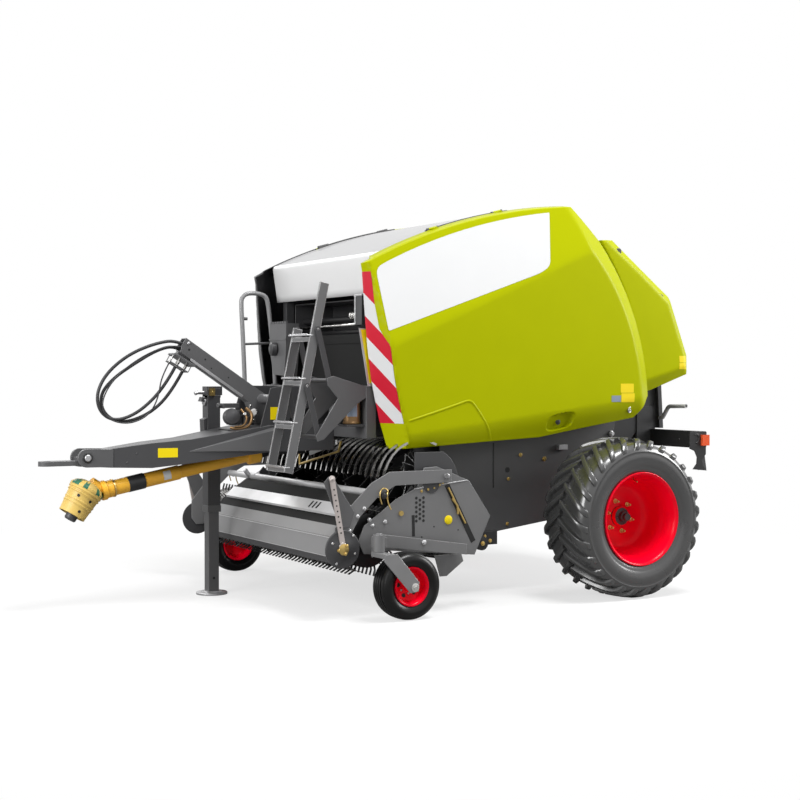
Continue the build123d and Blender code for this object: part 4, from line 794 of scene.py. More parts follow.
TOP_DROP = 0.014
SEAM_LOW = (-1.830, 1.330)
SEAM_MIDDLE = (
    SEAM[0] + SEAM_RADIUS * math.cos(math.radians(155)), SEAM[1] + SEAM_RADIUS * math.sin(math.radians(155))
)
SLOPE_END = (-1.405, 2.400)
SEAM_ARC = arc_points(SLOPE_END, SEAM_MIDDLE, SEAM_LOW, 26)
DOOR_OUTLINE = [
    (-1.677, 1.180), (-1.168, 1.105), (-0.881, 1.060), (-0.469, 1.043), *FRONT_EDGE,
    *[(x, z - TOP_DROP) for x, z in arc_points(*RIDGE, 24)], *SEAM_ARC,
]


def shrunk(outline, by):
    """Outline moved inward by a distance."""
    count = len(outline)
    area = sum(a[0] * b[1] - b[0] * a[1] for a, b in zip(outline, outline[1:] + outline[:1]))
    sign = 1 if area > 0 else -1
    result = []
    for i in range(count):
        before, here, after = (Vector(outline[(i + k) % count]) for k in (-1, 0, 1))
        first, second = (here - before).normalized(), (after - here).normalized()
        n1, n2 = Vector((-first.y, first.x)) * sign, Vector((-second.y, second.x)) * sign
        middle = (n1 + n2).normalized()
        result.append(tuple(here + middle * by / max(middle.dot(n1), 0.35)))
    return result


def cut_faces(bm, faces, place, normal):
    """Cut some faces of a sheet along a plane."""
    edges, corners = {e for f in faces for e in f.edges}, {v for f in faces for v in f.verts}
    bmesh.ops.bisect_plane(
        bm, geom=faces + list(edges) + list(corners), dist=1e-6, plane_co=place, plane_no=normal
    )


def cut_grid(bm, pitch, low=None, high=None):
    """Cut flat faces into a grid, all over or only between two corners of the side view."""
    xs = [v.co.x for v in bm.verts]
    zs = [v.co.z for v in bm.verts]
    x1, x2, z1, z2 = (min(xs), max(xs), min(zs), max(zs)) if low is None else (low[0], high[0], low[1], high[1])

    def inside(face):
        middle = face.calc_center_median()
        return low is None or (low[0] < middle.x < high[0] and low[1] < middle.z < high[1])

    for first, last, normal in ((x1, x2, (1, 0, 0)), (z1, z2, (0, 0, 1))):
        for step in range(math.ceil(first / pitch), math.floor(last / pitch) + 1):
            at = step * pitch
            faces = [f for f in bm.faces if inside(f)]
            place = (at, 0, 0) if normal[0] else (0, 0, at)
            cut_faces(bm, faces, place, normal)


def skinned(outline, skin, pitch, lift=0.0, fine=None):
    """Sheet over an outline of the side view, lying on a skin."""
    bm = bmesh.new()
    bm.faces.new([bm.verts.new((x, 0, z)) for x, z in outline])
    cut_grid(bm, pitch)
    if fine:
        cut_grid(bm, *fine)
    for vert in bm.verts:
        vert.co.y = skin(vert.co.x, vert.co.z) + lift
    return bm


def round_rim(bm, radius, y_in, skin=None, rise=0.0):
    """Turn a sheet's border inward: a rounded edge, then a wall to y_in, which may rise along the ridge."""
    border = [e for e in bm.edges if e.is_boundary]
    links = {}
    for edge in border:
        for vert in edge.verts:
            links.setdefault(vert, []).append(edge.other_vert(vert))
    start = next(iter(links))
    loop = [start]
    before, here = None, start
    while True:
        options = [v for v in links[here] if v is not before]
        before, here = here, options[0]
        if here is start:
            break
        loop.append(here)
    area = sum(
        a.co.x * b.co.z - b.co.x * a.co.z for a, b in zip(loop, loop[1:] + loop[:1])
    )
    sign = -1 if area > 0 else 1
    outward = []
    count = len(loop)
    for i in range(count):
        here = Vector((loop[i].co.x, loop[i].co.z))
        before = Vector((loop[i - 1].co.x, loop[i - 1].co.z))
        after = Vector((loop[(i + 1) % count].co.x, loop[(i + 1) % count].co.z))
        first, second = (here - before).normalized(), (after - here).normalized()
        n1, n2 = Vector((-first.y, first.x)) * sign, Vector((-second.y, second.x)) * sign
        middle = (n1 + n2).normalized() if (n1 + n2).length > 1e-6 else n1
        outward.append(middle / max(middle.dot(n1), 0.35))
    rings = [loop]
    for angle in (30, 60, 90):
        out = radius * math.sin(math.radians(angle))
        drop = radius * (1 - math.cos(math.radians(angle)))
        ring = []
        for v, n in zip(loop, outward):
            x, z = v.co.x + n.x * out, v.co.z + n.y * out
            follow = skin(x, z) - 0.25 * drop if skin and n.x > 0.8 else v.co.y
            ring.append(bm.verts.new((x, min(v.co.y - drop, follow), z)))
        rings.append(ring)
    last = []
    for v in rings[-1]:
        up = rise if rise and v.co.z > held_ridge(v.co.x) - rise - 0.01 else 0.0
        last.append(bm.verts.new((v.co.x, y_in, v.co.z + up)))
    rings.append(last)
    join_rows(bm, rings, closed=True)


def face_outward(bm, side):
    """Make a sheet's normals point away from the machine's middle."""
    bmesh.ops.recalc_face_normals(bm, faces=bm.faces)
    if sum(f.normal.y * f.calc_area() for f in bm.faces) * side < 0:
        bmesh.ops.reverse_faces(bm, faces=bm.faces)


def mirror_if_right(bm, side):
    """Flip a left mesh over to the right."""
    if side < 0:
        for vert in bm.verts:
            vert.co.y = -vert.co.y
        bmesh.ops.reverse_faces(bm, faces=bm.faces)


def add_wall(piece, thick):
    """Give an open sheet a wall on its inner side."""
    wall = piece.modifiers.new("wall", "SOLIDIFY")
    wall.thickness = thick
    wall.offset = -1
    return wall


def panel_piece(name, bm, body, finish, side, thick=0.007, sharp=40, inner=None):
    """Hollow panel made from a sheet, with a wall of its own and perhaps another finish inside."""
    mirror_if_right(bm, side)
    face_outward(bm, side)
    piece = mesh_object(name, bm, finish, sharp)
    if thick:
        wall = add_wall(piece, thick)
        if inner:
            piece.data.materials.append(MATERIALS[inner])
            wall.material_offset = 1
    return mount(piece, body)


def cut_front_crease(bm):
    """Cut a door's sheet along the crease between its front face and its side."""
    for (x1, z1), (x2, z2) in zip(FRONT_EDGE, FRONT_EDGE[1:]):
        faces = [f for f in bm.faces if f.calc_center_median().x > 0.05]
        cut_faces(bm, faces, (x1 - FRONT_DEEP, 0, z1), (z2 - z1, 0, x1 - x2))
    for vert in bm.verts:
        vert.co.y = door_skin(vert.co.x, vert.co.z)


def side_door(name, side):
    """Side door: hollow skin with its hinge barrels; the right one is black at its front, on its upward faces near
    the front and on its barrels, as painted shade.
    """
    door = skinned(
        shrunk(DOOR_OUTLINE, 0.010), door_skin, 0.015,
        fine=(0.005, (LOCK[0] - 0.13, LOCK[1] - 0.12), (LOCK[0] + 0.13, LOCK[1] + 0.12)),
    )
    if side < 0:
        cut_front_crease(door)
    round_rim(door, 0.010, DOOR_IN, door_skin, TOP_DROP)
    panel = panel_piece(
        f"door_skin_{name}", door, f"door_{name}", "green", side, inner="black_plastic_and_shade",
    )
    # Right door: its front face and forward upward faces take the black finish as painted shade.
    if side < 0:
        for polygon in panel.data.polygons:
            spot = polygon.center
            if spot.x > front_edge(spot.z) - FRONT_DEEP or (polygon.normal.z > 0.4 and spot.x > -0.08):
                polygon.material_index = 1
    barrels = bmesh.new()
    ridge_centre = Vector((RIDGE_CIRCLE[0], 0, RIDGE_CIRCLE[1]))
    radial = (Vector((-0.385, 0, 2.503)) - ridge_centre).normalized()
    along = Vector((radial.z, 0, -radial.x))
    for spot in (-0.26, 0.26):
        middle = Vector((-0.385, 0.762 * side, 2.495)) + along * spot
        turned(barrels, [(-0.030, 0.0098), (0.030, 0.0098)], middle, along, 20)
        add_bar(
            barrels, middle + along * -0.03 + Vector((0, 0.012 * side, 0.001)),
            middle + along * 0.03 + Vector((0, 0.012 * side, 0.001)), 0.024, 0.006, up=(0, 0, 1),
        )
    # The right door's barrels are black as painted shade.
    hinge = new_piece(
        f"door_barrels_{name}", barrels, f"door_{name}", "green" if side > 0 else "black_plastic_and_shade",
    )
    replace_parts(panel, f"door_{name}")
    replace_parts(hinge, f"door_{name}")


for name, side in SIDES:
    side_door(name, side)


def door_sticker(name, outline, finish, side, lift=0.0014, pitch=0.015):
    """Thin sheet lying on the outside of a door."""
    sheet = skinned(outline, door_skin, pitch, lift)
    label = "left" if side > 0 else "right"
    return panel_piece(f"{name}_{label}", sheet, f"door_{label}", finish, side, thick=0)


def rounded(points, radius, steps=5):
    """Outline with its corners rounded, one radius for each corner."""
    count = len(points)
    result = []
    for i in range(count):
        before, here, after = (Vector(points[(i + k) % count]) for k in (-1, 0, 1))
        cut = min(radius[i], 0.45 * (here - before).length, 0.45 * (after - here).length)
        if cut <= 0:
            result.append(tuple(here))
            continue
        start = here + (before - here).normalized() * cut
        end = here + (after - here).normalized() * cut
        for k in range(steps + 1):
            t = k / steps
            result.append(tuple((1 - t) ** 2 * start + 2 * t * (1 - t) * here + t * t * end))
    return result


BAND_LINES = (1.990, 1.846, 1.711, 1.576, 1.431, 1.297)
BOARD_WIDE = (
    (2.127, 0.022), (2.030, 0.0245), (1.920, 0.0267), (1.766, 0.035), (1.709, 0.048), (1.660, 0.062),
    (1.172, 0.0636),
)


def board_sheet(red):
    """Red or white slanted bands of the warning board, lying on the door's front face."""
    bm = bmesh.new()
    rows = []
    for step in range(41):
        z = BOARD_WIDE[0][0] + (BOARD_WIDE[-1][0] - BOARD_WIDE[0][0]) * step / 40
        wide = BOARD_WIDE[-1][1]
        for (z1, w1), (z2, w2) in zip(BOARD_WIDE, BOARD_WIDE[1:]):
            if z2 <= z <= z1:
                wide = w1 + (w2 - w1) * (z1 - z) / (z1 - z2)
        front = front_edge(z)
        row = [(front + 0.0015, DOOR_IN + 0.002), (front + 0.0015, FRONT_IN)]
        row += [(front - wide * i / 8, door_skin(front - wide * i / 8, z) + 0.0022) for i in range(9)]
        rows.append([bm.verts.new((x, y, z)) for x, y in row])
    join_rows(bm, rows)

    def height(place):
        return place.z + 1.07 * (-0.86 * place.x + 0.51 * place.y)

    levels = [height(Vector((front_edge(z), FRONT_IN, z))) for z in BAND_LINES]
    for level in levels:
        geometry = bm.faces[:] + bm.edges[:] + bm.verts[:]
        bmesh.ops.bisect_plane(
            bm, geom=geometry, dist=1e-6, plane_co=(0, 0, level), plane_no=(-0.9202, 0.5457, 1.0),
        )
    wrong = [
        face for face in bm.faces
        if (sum(height(face.calc_center_median()) < level for level in levels) % 2 == 0) != red
    ]
    bmesh.ops.delete(bm, geom=wrong, context="FACES")
    return bm


panel_piece("board_red", board_sheet(True), "door_left", "sticker_red", 1, thick=0)
panel_piece("board_white", board_sheet(False), "door_left", "sticker_white", 1, thick=0)

STICKER_FRONT = (0.346, 2.170)
STICKER_REAR = -0.979


def side_sticker(side):
    """Large blank white panel above the door's crease."""
    top = []
    for i in range(13):
        x = STICKER_FRONT[0] + (STICKER_REAR - STICKER_FRONT[0]) * i / 12
        top.append((x, ridge_height(x) - 0.078 + 0.030 * i / 12))
    corners = [(0.305, 1.752), *top, (-0.930, 2.200), (-0.842, 2.150)]
    radius = [0.012, 0.06] + [0] * 11 + [0.010, 0.05, 0.03]
    door_sticker("blank_panel", rounded(corners, radius), "sticker_white", side)


def style_line(side):
    """Raised line that arches over the door's lower front corner."""
    label = "left" if side > 0 else "right"
    route = smoothed(
        [
            (0.215, 1.175), (0.015, 1.229), (-0.180, 1.284), (-0.262, 1.308), (-0.292, 1.305), (-0.318, 1.286),
            (-0.375, 1.215), (-0.440, 1.120), (-0.473, 1.050),
        ],
        3,
    )
    bm = bmesh.new()
    rings = []
    for i, place in enumerate(route):
        way = (route[min(i + 1, len(route) - 1)] - route[max(i - 1, 0)]).normalized()
        normal = Vector((-way.y, way.x, 0))
        ring = []
        for across, lift in (
            (-0.010, -0.001), (-0.006, 0.0032), (-0.002, 0.0045), (0.002, 0.0036), (0.010, -0.001),
        ):
            x, z = place.x + normal.x * across, place.y + normal.y * across
            ring.append(bm.verts.new((x, door_skin(x, z) + lift, z)))
        rings.append(ring)
    join_rows(bm, rings)
    return panel_piece(f"style_line_{label}", bm, f"door_{label}", "green", side, thick=0)


def flat_sticker(name, body, finish, corners, lift_way=None):
    """Thin blank sticker through four corners in space, just proud of its surface."""
    bm = bmesh.new()
    points = [Vector(c) for c in corners]
    normal = (points[1] - points[0]).cross(points[2] - points[0]).normalized()
    if lift_way is not None and normal.dot(Vector(lift_way)) < 0:
        normal = -normal
    low = [bm.verts.new(p) for p in points]
    high = [bm.verts.new(p + normal * 0.0012) for p in points]
    join_rings(bm, [low, high])
    return new_piece(name, bm, body, finish)


def door_lock(name, side):
    """Lock in its recess, lock button, and the door's blank panel, style line and notices."""
    side_sticker(side)
    style_line(side)
    door_sticker(
        "notice_top",
        rounded([(-1.524, 1.417), (-1.524, 1.354), (-1.640, 1.354), (-1.640, 1.417)], [0.006] * 4),
        "sticker_yellow", side,
    )
    door_sticker(
        "notice_low",
        rounded([(-1.530, 1.351), (-1.530, 1.288), (-1.648, 1.288), (-1.648, 1.351)], [0.006] * 4),
        "sticker_yellow", side,
    )
    door_sticker(
        "notice_small", [(-1.446, 1.335), (-1.446, 1.292), (-1.527, 1.292), (-1.527, 1.335)], "sticker_blue",
        side,
    )
    knob = bmesh.new()
    spot = Vector((LOCK[0] + 0.004, side * (door_skin(LOCK[0], LOCK[1]) + 0.0005), LOCK[1] - 0.004))
    turned(knob, [(0, 0.020), (0.002, 0.020), (0.003, 0.017)], spot, Vector((0, side, 0)), 24)
    turned(knob, [(0.002, 0.011), (0.010, 0.011), (0.011, 0.009)], spot, Vector((0, side, 0)), 6)
    new_piece(f"door_lock_{name}", knob, f"door_{name}", "dark")
    button = bmesh.new()
    spot = Vector((-1.622, side * (door_skin(-1.622, 1.236) - 0.002), 1.236))
    turned(
        button, [(0, 0.022), (0.004, 0.022), (0.006, 0.018), (0.004, 0.015), (0.004, 0.006), (0.007, 0.005)],
        spot, Vector((-0.3, side, -0.2)), 24,
    )
    new_piece(f"door_button_{name}", button, f"door_{name}", "bright")


for name, side in SIDES:
    door_lock(name, side)

# Tailgate covers: flat, tucked in along their foot, rounded at the border
COVER_OUTLINE = [
    (-1.441, 2.405), (-1.556, 2.412), (-1.813, 2.213), (-2.066, 2.033), (-2.232, 1.618), (-2.235, 1.481),
    (-1.897, 1.364), (-1.846, 1.364),
] + [
    (SEAM[0] + (x - SEAM[0]) * 1.628 / SEAM_RADIUS, SEAM[1] + (z - SEAM[1]) * 1.628 / SEAM_RADIUS)
    for x, z in reversed(SEAM_ARC[1:-1])
]


def cover_skin(x, z):
    """Outside of a tailgate cover above a place of the side view."""
    tuck = 0.880 - 0.47 * max(0.0, (1.442 + 0.27 * (-1.83 - x)) - z)
    border = 1e3
    for (x1, z1), (x2, z2) in zip(COVER_OUTLINE[1:5], COVER_OUTLINE[2:6]):
        along = Vector((x2 - x1, z2 - z1)).normalized()
        border = min(border, abs((x - x1) * along.y - (z - z1) * along.x))
    lean = 0.880 - 0.75 * max(0.0, 0.045 - border)
    return min(soft_lowest([0.8805, lean, min(tuck, 0.8805)], 0.006), 0.880)


for name, side in SIDES:
    cover = skinned(shrunk(COVER_OUTLINE, 0.012), cover_skin, 0.015)
    round_rim(cover, 0.012, 0.760)
    panel = panel_piece(f"tailgate_skin_{name}", cover, "tailgate", "green", side)
    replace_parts(panel, f"tailgate_cover_{name}")
    for low, high, label in ((1.565, 1.612, "upper"), (1.517, 1.562, "lower")):
        corners = [(-2.140, low), (-2.214, low), (-2.212, high), (-2.138, high)]
        sheet = skinned(corners, cover_skin, 0.015, 0.0014)
        panel_piece(f"cover_notice_{label}_{name}", sheet, "tailgate", "sticker_yellow", side, thick=0)


# Top cover: smooth curved sheet with rounded sides and a sloping nose
LID_HALF = 0.772
LID_HALF_BACK = 0.745


def lid_sheet(x_front, x_rear, face, skirt):
    """Curved sheet along the ridge with rounded side edges, and its sloping nose where there is one."""
    line = []
    if face:
        nose_top = ridge_height(0.28) - 0.030
        line += [(0.243 + (0.2765 - 0.243) * i / 5, 2.000 + (nose_top - 2.000) * i / 5) for i in range(6)]
        line += [(0.277, ridge_height(0.28) - 0.018), (0.271, ridge_height(0.271) - 0.009)]
    first = 0.262 if face else x_front
    for i in range(29):
        x = first + (x_rear - first) * i / 28
        line.append((x, ridge_height(x) - 0.005))
    bm = bmesh.new()
    edge = 0.014
    sides = []
    for degrees in (90, 65, 40, 20, 0):
        turn = math.radians(degrees)
        sides.append((LID_HALF - edge + edge * math.sin(turn), edge * (1 - math.cos(turn))))
    profile = [(-y, d) for y, d in sides] + [(y, 0.0) for y in (-0.5, -0.25, 0.0, 0.25, 0.5)] + sides[::-1]
    rows = []
    for i, (x, z) in enumerate(line):
        before, after = line[max(i - 1, 0)], line[min(i + 1, len(line) - 1)]
        way = Vector((after[0] - before[0], after[1] - before[1])).normalized()
        normal = Vector((way.y, -way.x))
        tuck = 0.0 if x > -0.05 else LID_HALF - LID_HALF_BACK
        row = []
        for y, drop in profile:
            if abs(y) > 0.6:
                y = math.copysign(abs(y) - tuck, y)
            row.append(bm.verts.new((x - normal.x * drop, y, z - normal.y * drop)))
        foot = [skirt, 0] if not face or i > 7 else [0.045, 0]
        left = bm.verts.new((x - normal.x * foot[0], tuck - LID_HALF, z - normal.y * foot[0]))
        right = bm.verts.new((x - normal.x * foot[0], LID_HALF - tuck, z - normal.y * foot[0]))
        rows.append([left, *row, right])
    join_rows(bm, rows)
    return bm


def sheet_piece(name, bm, body, finish, thick):
    """Open sheet with a wall of its own, normals upward."""
    bmesh.ops.recalc_face_normals(bm, faces=bm.faces)
    if sum(f.normal.z * f.calc_area() for f in bm.faces) < 0:
        bmesh.ops.reverse_faces(bm, faces=bm.faces)
    piece = mesh_object(name, bm, finish, 35)
    add_wall(piece, thick)
    return mount(piece, body)


lid_top = sheet_piece(
    "lid_sheet", lid_sheet(0.28, -0.765 + 0.02, True, 0.053), "lid", "white", 0.006,
)
# Upward faces of the top cover take the greyer copy of the white: painted shade.
lid_top.data.materials.append(MATERIALS["pale"])
for polygon in lid_top.data.polygons:
    if polygon.normal.z > 0.8:
        polygon.material_index = 1
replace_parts(lid_top, "lid")
lid_lugs = bmesh.new()
for y in (-0.5, 0.5):
    x, z = -0.756, ridge_height(-0.756) - 0.014
    turned(lid_lugs, [(-0.007, 0.009), (0.007, 0.009)], Vector((x, y, z)), Vector((0, 1, 0)), 20)
    add_slab(
        lid_lugs, ((x, z - 0.009), (x, z + 0.004), (x + 0.06, z - 0.004), (x + 0.06, z - 0.020)), y - 0.007,
        y + 0.007,
    )
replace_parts(new_piece("lid_lugs", lid_lugs, "lid", "dark"), "lid")


def seal_strip(name, y, body, start, stop, width, rise):
    """Rubber seal along the ridge line beside the top cover."""
    bm = bmesh.new()
    points = []
    for i in range(25):
        x = start + (stop - start) * i / 24
        points.append((x, y, ridge_height(x) - 0.006 + rise))
    add_pipe(bm, points, width, 10)
    return new_piece(name, bm, body, "seal")


for name, side in SIDES:
    seal_strip(f"top_seal_{name}", side * 0.7455, "lid", -0.09, -0.735, 0.0065, 0.003)


# Main wheels: flotation tyre with long curved lugs, deep dished rim, studs and hub
CARCASS = (
    (0.2925, 0.196), (0.306, 0.1975), (0.318, 0.203), (0.334, 0.211), (0.342, 0.2105), (0.347, 0.2135),
    (0.365, 0.2185), (0.385, 0.2215), (0.405, 0.2222), (0.425, 0.2208), (0.440, 0.2175), (0.446, 0.2195),
    (0.452, 0.2165), (0.464, 0.2100), (0.478, 0.1990), (0.490, 0.1820), (0.498, 0.1550), (0.502, 0.1100),
    (0.503, 0.0),
)
LUG_LINE = (
    (0.0, 0.503), (0.05, 0.503), (0.10, 0.502), (0.145, 0.500), (0.175, 0.494), (0.196, 0.482), (0.209, 0.467),
    (0.217, 0.452),
)
LUG_SECTION = (
    (-1.25, -0.15), (-0.98, 0.55), (-0.80, 0.93), (-0.60, 1.0), (0.60, 1.0), (0.80, 0.93), (0.98, 0.55),
    (1.25, -0.15),
)
LUGS = 28
LUG_SWEEP = 0.175
LUG_HEIGHT = 0.027
TREAD_RADIUS = 0.52


def tyre_mesh(side):
    """Carcass with two rows of curved lugs."""
    place = Vector((WHEEL[0], WHEEL[1] * side, WHEEL[2]))
    bm = bmesh.new()
    profile = list(CARCASS) + [(r, -y) for r, y in reversed(CARCASS[:-1])]
    lathe(bm, profile, place, 120, side, closed=False)
    for row in (1, -1):
        for number in range(LUGS):
            base = 2 * math.pi * (number + (0.0 if row > 0 else 0.5)) / LUGS
            rings = []
            for step, (y, radius) in enumerate(LUG_LINE):
                t = step / (len(LUG_LINE) - 1)
                before = LUG_LINE[max(step - 1, 0)]
                after = LUG_LINE[min(step + 1, len(LUG_LINE) - 1)]
                normal = Vector((-(after[1] - before[1]), after[0] - before[0])).normalized()
                swing = LUG_SWEEP * (1 - (1 - t) ** 1.6) / TREAD_RADIUS
                height = LUG_HEIGHT - 0.019 * max(t - 0.80, 0.0) / 0.20
                wide = (0.042 + 0.012 * t) / TREAD_RADIUS
                ring = []
                for across, share in LUG_SECTION:
                    r = radius + normal.y * height * share
                    out = (y - 0.010 + normal.x * height * share) * row
                    angle = base + swing + across * wide / 2
                    spot = place + Vector((r * math.sin(angle), out * side, r * math.cos(angle)))
                    ring.append(bm.verts.new(spot))
                rings.append(ring)
            join_rows(bm, rings)
            bm.faces.new(rings[0])
            bm.faces.new(list(reversed(rings[-1])))
    return bm


RIM_FACE = (
    (0.000, 0.000), (0.062, 0.000), (0.064, -0.003), (0.068, -0.028), (0.078, -0.032), (0.110, -0.037),
    (0.150, -0.040), (0.190, -0.040), (0.206, -0.036), (0.222, -0.020), (0.238, 0.004), (0.247, 0.030),
    (0.252, 0.060), (0.254, 0.094), (0.262, 0.104), (0.266, 0.130), (0.268, 0.150), (0.276, 0.166),
    (0.282, 0.184), (0.287, 0.198), (0.293, 0.206), (0.299, 0.212), (0.305, 0.2135), (0.309, 0.211),
    (0.309, 0.200), (0.2922, 0.1985), (0.2922, -0.1985), (0.309, -0.200), (0.309, -0.211), (0.305, -0.2135),
    (0.299, -0.212), (0.287, -0.200), (0.280, -0.170), (0.272, -0.120), (0.240, -0.075), (0.200, -0.056),
    (0.120, -0.052), (0.078, -0.050), (0.076, -0.124), (0.040, -0.124), (0.040, -0.068), (0.000, -0.068),
)


def main_wheel(name, side):
    """Main wheel: tyre, dished rim, hub, studs and valve."""
    place = Vector((WHEEL[0], WHEEL[1] * side, WHEEL[2]))
    tyre = new_piece(f"flotation_tyre_{name}", tyre_mesh(side), f"wheel_{name}", "tyre", sharp=35)
    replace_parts(tyre, f"main_tyre_{name}")
    make(f"dished_rim_{name}", f"wheel_{name}", "red", [
        (lathe, RIM_FACE, place, 96, side),
    ], stands_for=f"main_rim_{name}", sharp=40)
    out = Vector((0, side, 0))
    hub = bmesh.new()
    lathe(
        hub,
        (
            (0.0, -0.002), (0.0, 0.062), (0.022, 0.062), (0.026, 0.059), (0.027, 0.036), (0.034, 0.034),
            (0.036, 0.030), (0.037, 0.008), (0.048, 0.004), (0.057, 0.0015), (0.060, -0.004), (0.070, -0.030),
            (0.060, -0.030),
        ),
        place, 40, side,
    )
    for number in range(3):
        angle = 2 * math.pi * number / 3
        spot = place + Vector((0.048 * math.cos(angle), side * 0.002, 0.048 * math.sin(angle)))
        turned(hub, [(0, 0.006), (0.006, 0.006), (0.007, 0.005)], spot, out, 6)
    new_piece(f"wheel_hub_{name}", hub, f"wheel_{name}", "dark")
    studs = bmesh.new()
    for number in range(6):
        angle = 2 * math.pi * (number + 0.25) / 6
        spot = place + Vector((0.104 * math.cos(angle), side * -0.0375, 0.104 * math.sin(angle)))
        turned(studs, [(0, 0.0165), (0.003, 0.0165), (0.004, 0.014)], spot, out, 20)
        turned(studs, [(0.003, 0.0135), (0.017, 0.0135), (0.019, 0.010)], spot, out, 6)
        turned(studs, [(0.018, 0.0075), (0.034, 0.0075), (0.036, 0.006)], spot, out, 12)
    new_piece(f"wheel_studs_{name}", studs, f"wheel_{name}", "brass")
    valve = bmesh.new()
    spot = place + Vector((0.0, side * 0.110, 0.262))
    add_pipe(
        valve, (spot, spot + Vector((0, side * 0.028, -0.014)), spot + Vector((0, side * 0.046, -0.020))),
        0.0045, 10,
    )
    new_piece(f"wheel_valve_{name}", valve, f"wheel_{name}", "brass")


for name, side in SIDES:
    main_wheel(name, side)

# Gauge wheels: ribbed tyre, dished rim with dark openings, hub and nuts
GAUGE_TYRE = (
    (0.1104, 0.061), (0.122, 0.0625), (0.130, 0.068), (0.145, 0.0775), (0.158, 0.0795), (0.170, 0.0780),
    (0.182, 0.0720), (0.190, 0.0660), (0.193, 0.0615), (0.1995, 0.0585), (0.2015, 0.0480), (0.2020, 0.0400),
    (0.1955, 0.0385), (0.1955, 0.0345), (0.2040, 0.0330), (0.2045, 0.0160), (0.1970, 0.0145), (0.1970, 0.0105),
    (0.2050, 0.0090), (0.2050, 0.0),
)
GAUGE_RIM = (
    (0.0153, 0.060), (0.030, 0.060), (0.032, 0.057), (0.032, 0.010), (0.040, 0.008), (0.075, 0.013),
    (0.090, 0.018), (0.096, 0.030), (0.099, 0.052), (0.105, 0.064), (0.112, 0.0695), (0.118, 0.0695),
    (0.120, 0.066), (0.120, 0.062), (0.1101, 0.060), (0.1101, -0.060), (0.120, -0.062), (0.120, -0.067),
    (0.116, -0.0695), (0.103, -0.062), (0.097, -0.030), (0.088, -0.004), (0.070, -0.002), (0.032, -0.004),
    (0.032, -0.050), (0.0153, -0.050),
)


def gauge_wheel(name, side):
    """Gauge wheel: ribbed tyre, rim with its openings, and hub."""
    place = Vector((GAUGE[0], GAUGE[1] * side, GAUGE[2]))
    out = Vector((0, side, 0))
    body = f"gauge_wheel_{name}"
    tyre = bmesh.new()
    lathe(
        tyre, list(GAUGE_TYRE) + [(r, -y) for r, y in reversed(GAUGE_TYRE[:-1])], place, 80, side, closed=False,
    )
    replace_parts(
        new_piece(f"ribbed_tyre_{name}", tyre, body, "caster_tyre", sharp=35), f"gauge_tyre_{name}",
    )
    make(f"small_rim_{name}", body, "red", [
        (lathe, GAUGE_RIM, place, 64, side),
    ], stands_for=f"gauge_rim_{name}", sharp=40)
    # Dark discs over the rim's openings: painted shade.
    holes = bmesh.new()
    nuts = bmesh.new()
    for number in range(5):
        angle = 2 * math.pi * (number + 0.1) / 5
        spot = place + Vector((0.064 * math.cos(angle), side * 0.0105, 0.064 * math.sin(angle)))
        turned(holes, [(0, 0.0135), (0.0022, 0.0135), (0.0024, 0.0125)], spot, out, 20)
        angle += math.pi / 5
        spot = place + Vector((0.048 * math.cos(angle), side * 0.009, 0.048 * math.sin(angle)))
        add_bolt(nuts, spot, out, 0.006)
    new_piece(f"rim_openings_{name}", holes, body, "seal")
    turned(nuts, [(0.055, 0.024), (0.064, 0.024), (0.068, 0.019), (0.069, 0.010)], place, out, 28)
    new_piece(f"small_hub_{name}", nuts, body, "bright")


for name, side in SIDES:
    gauge_wheel(name, side)

# Drawbar: jaw cheeks with the hitch pin, side gussets and blank notices
def bar_half(x):
    """Half width of the drawbar at x."""
    return 0.075 + 0.175 * (1.794 - x) / 1.014


def arc(x, z, radius, start, stop, steps=12):
    """Points of the side view on an arc, angles in degrees."""
    return [
        (x + radius * math.cos(math.radians(start + (stop - start) * i / steps)),
         z + radius * math.sin(math.radians(start + (stop - start) * i / steps)))
        for i in range(steps + 1)
    ]


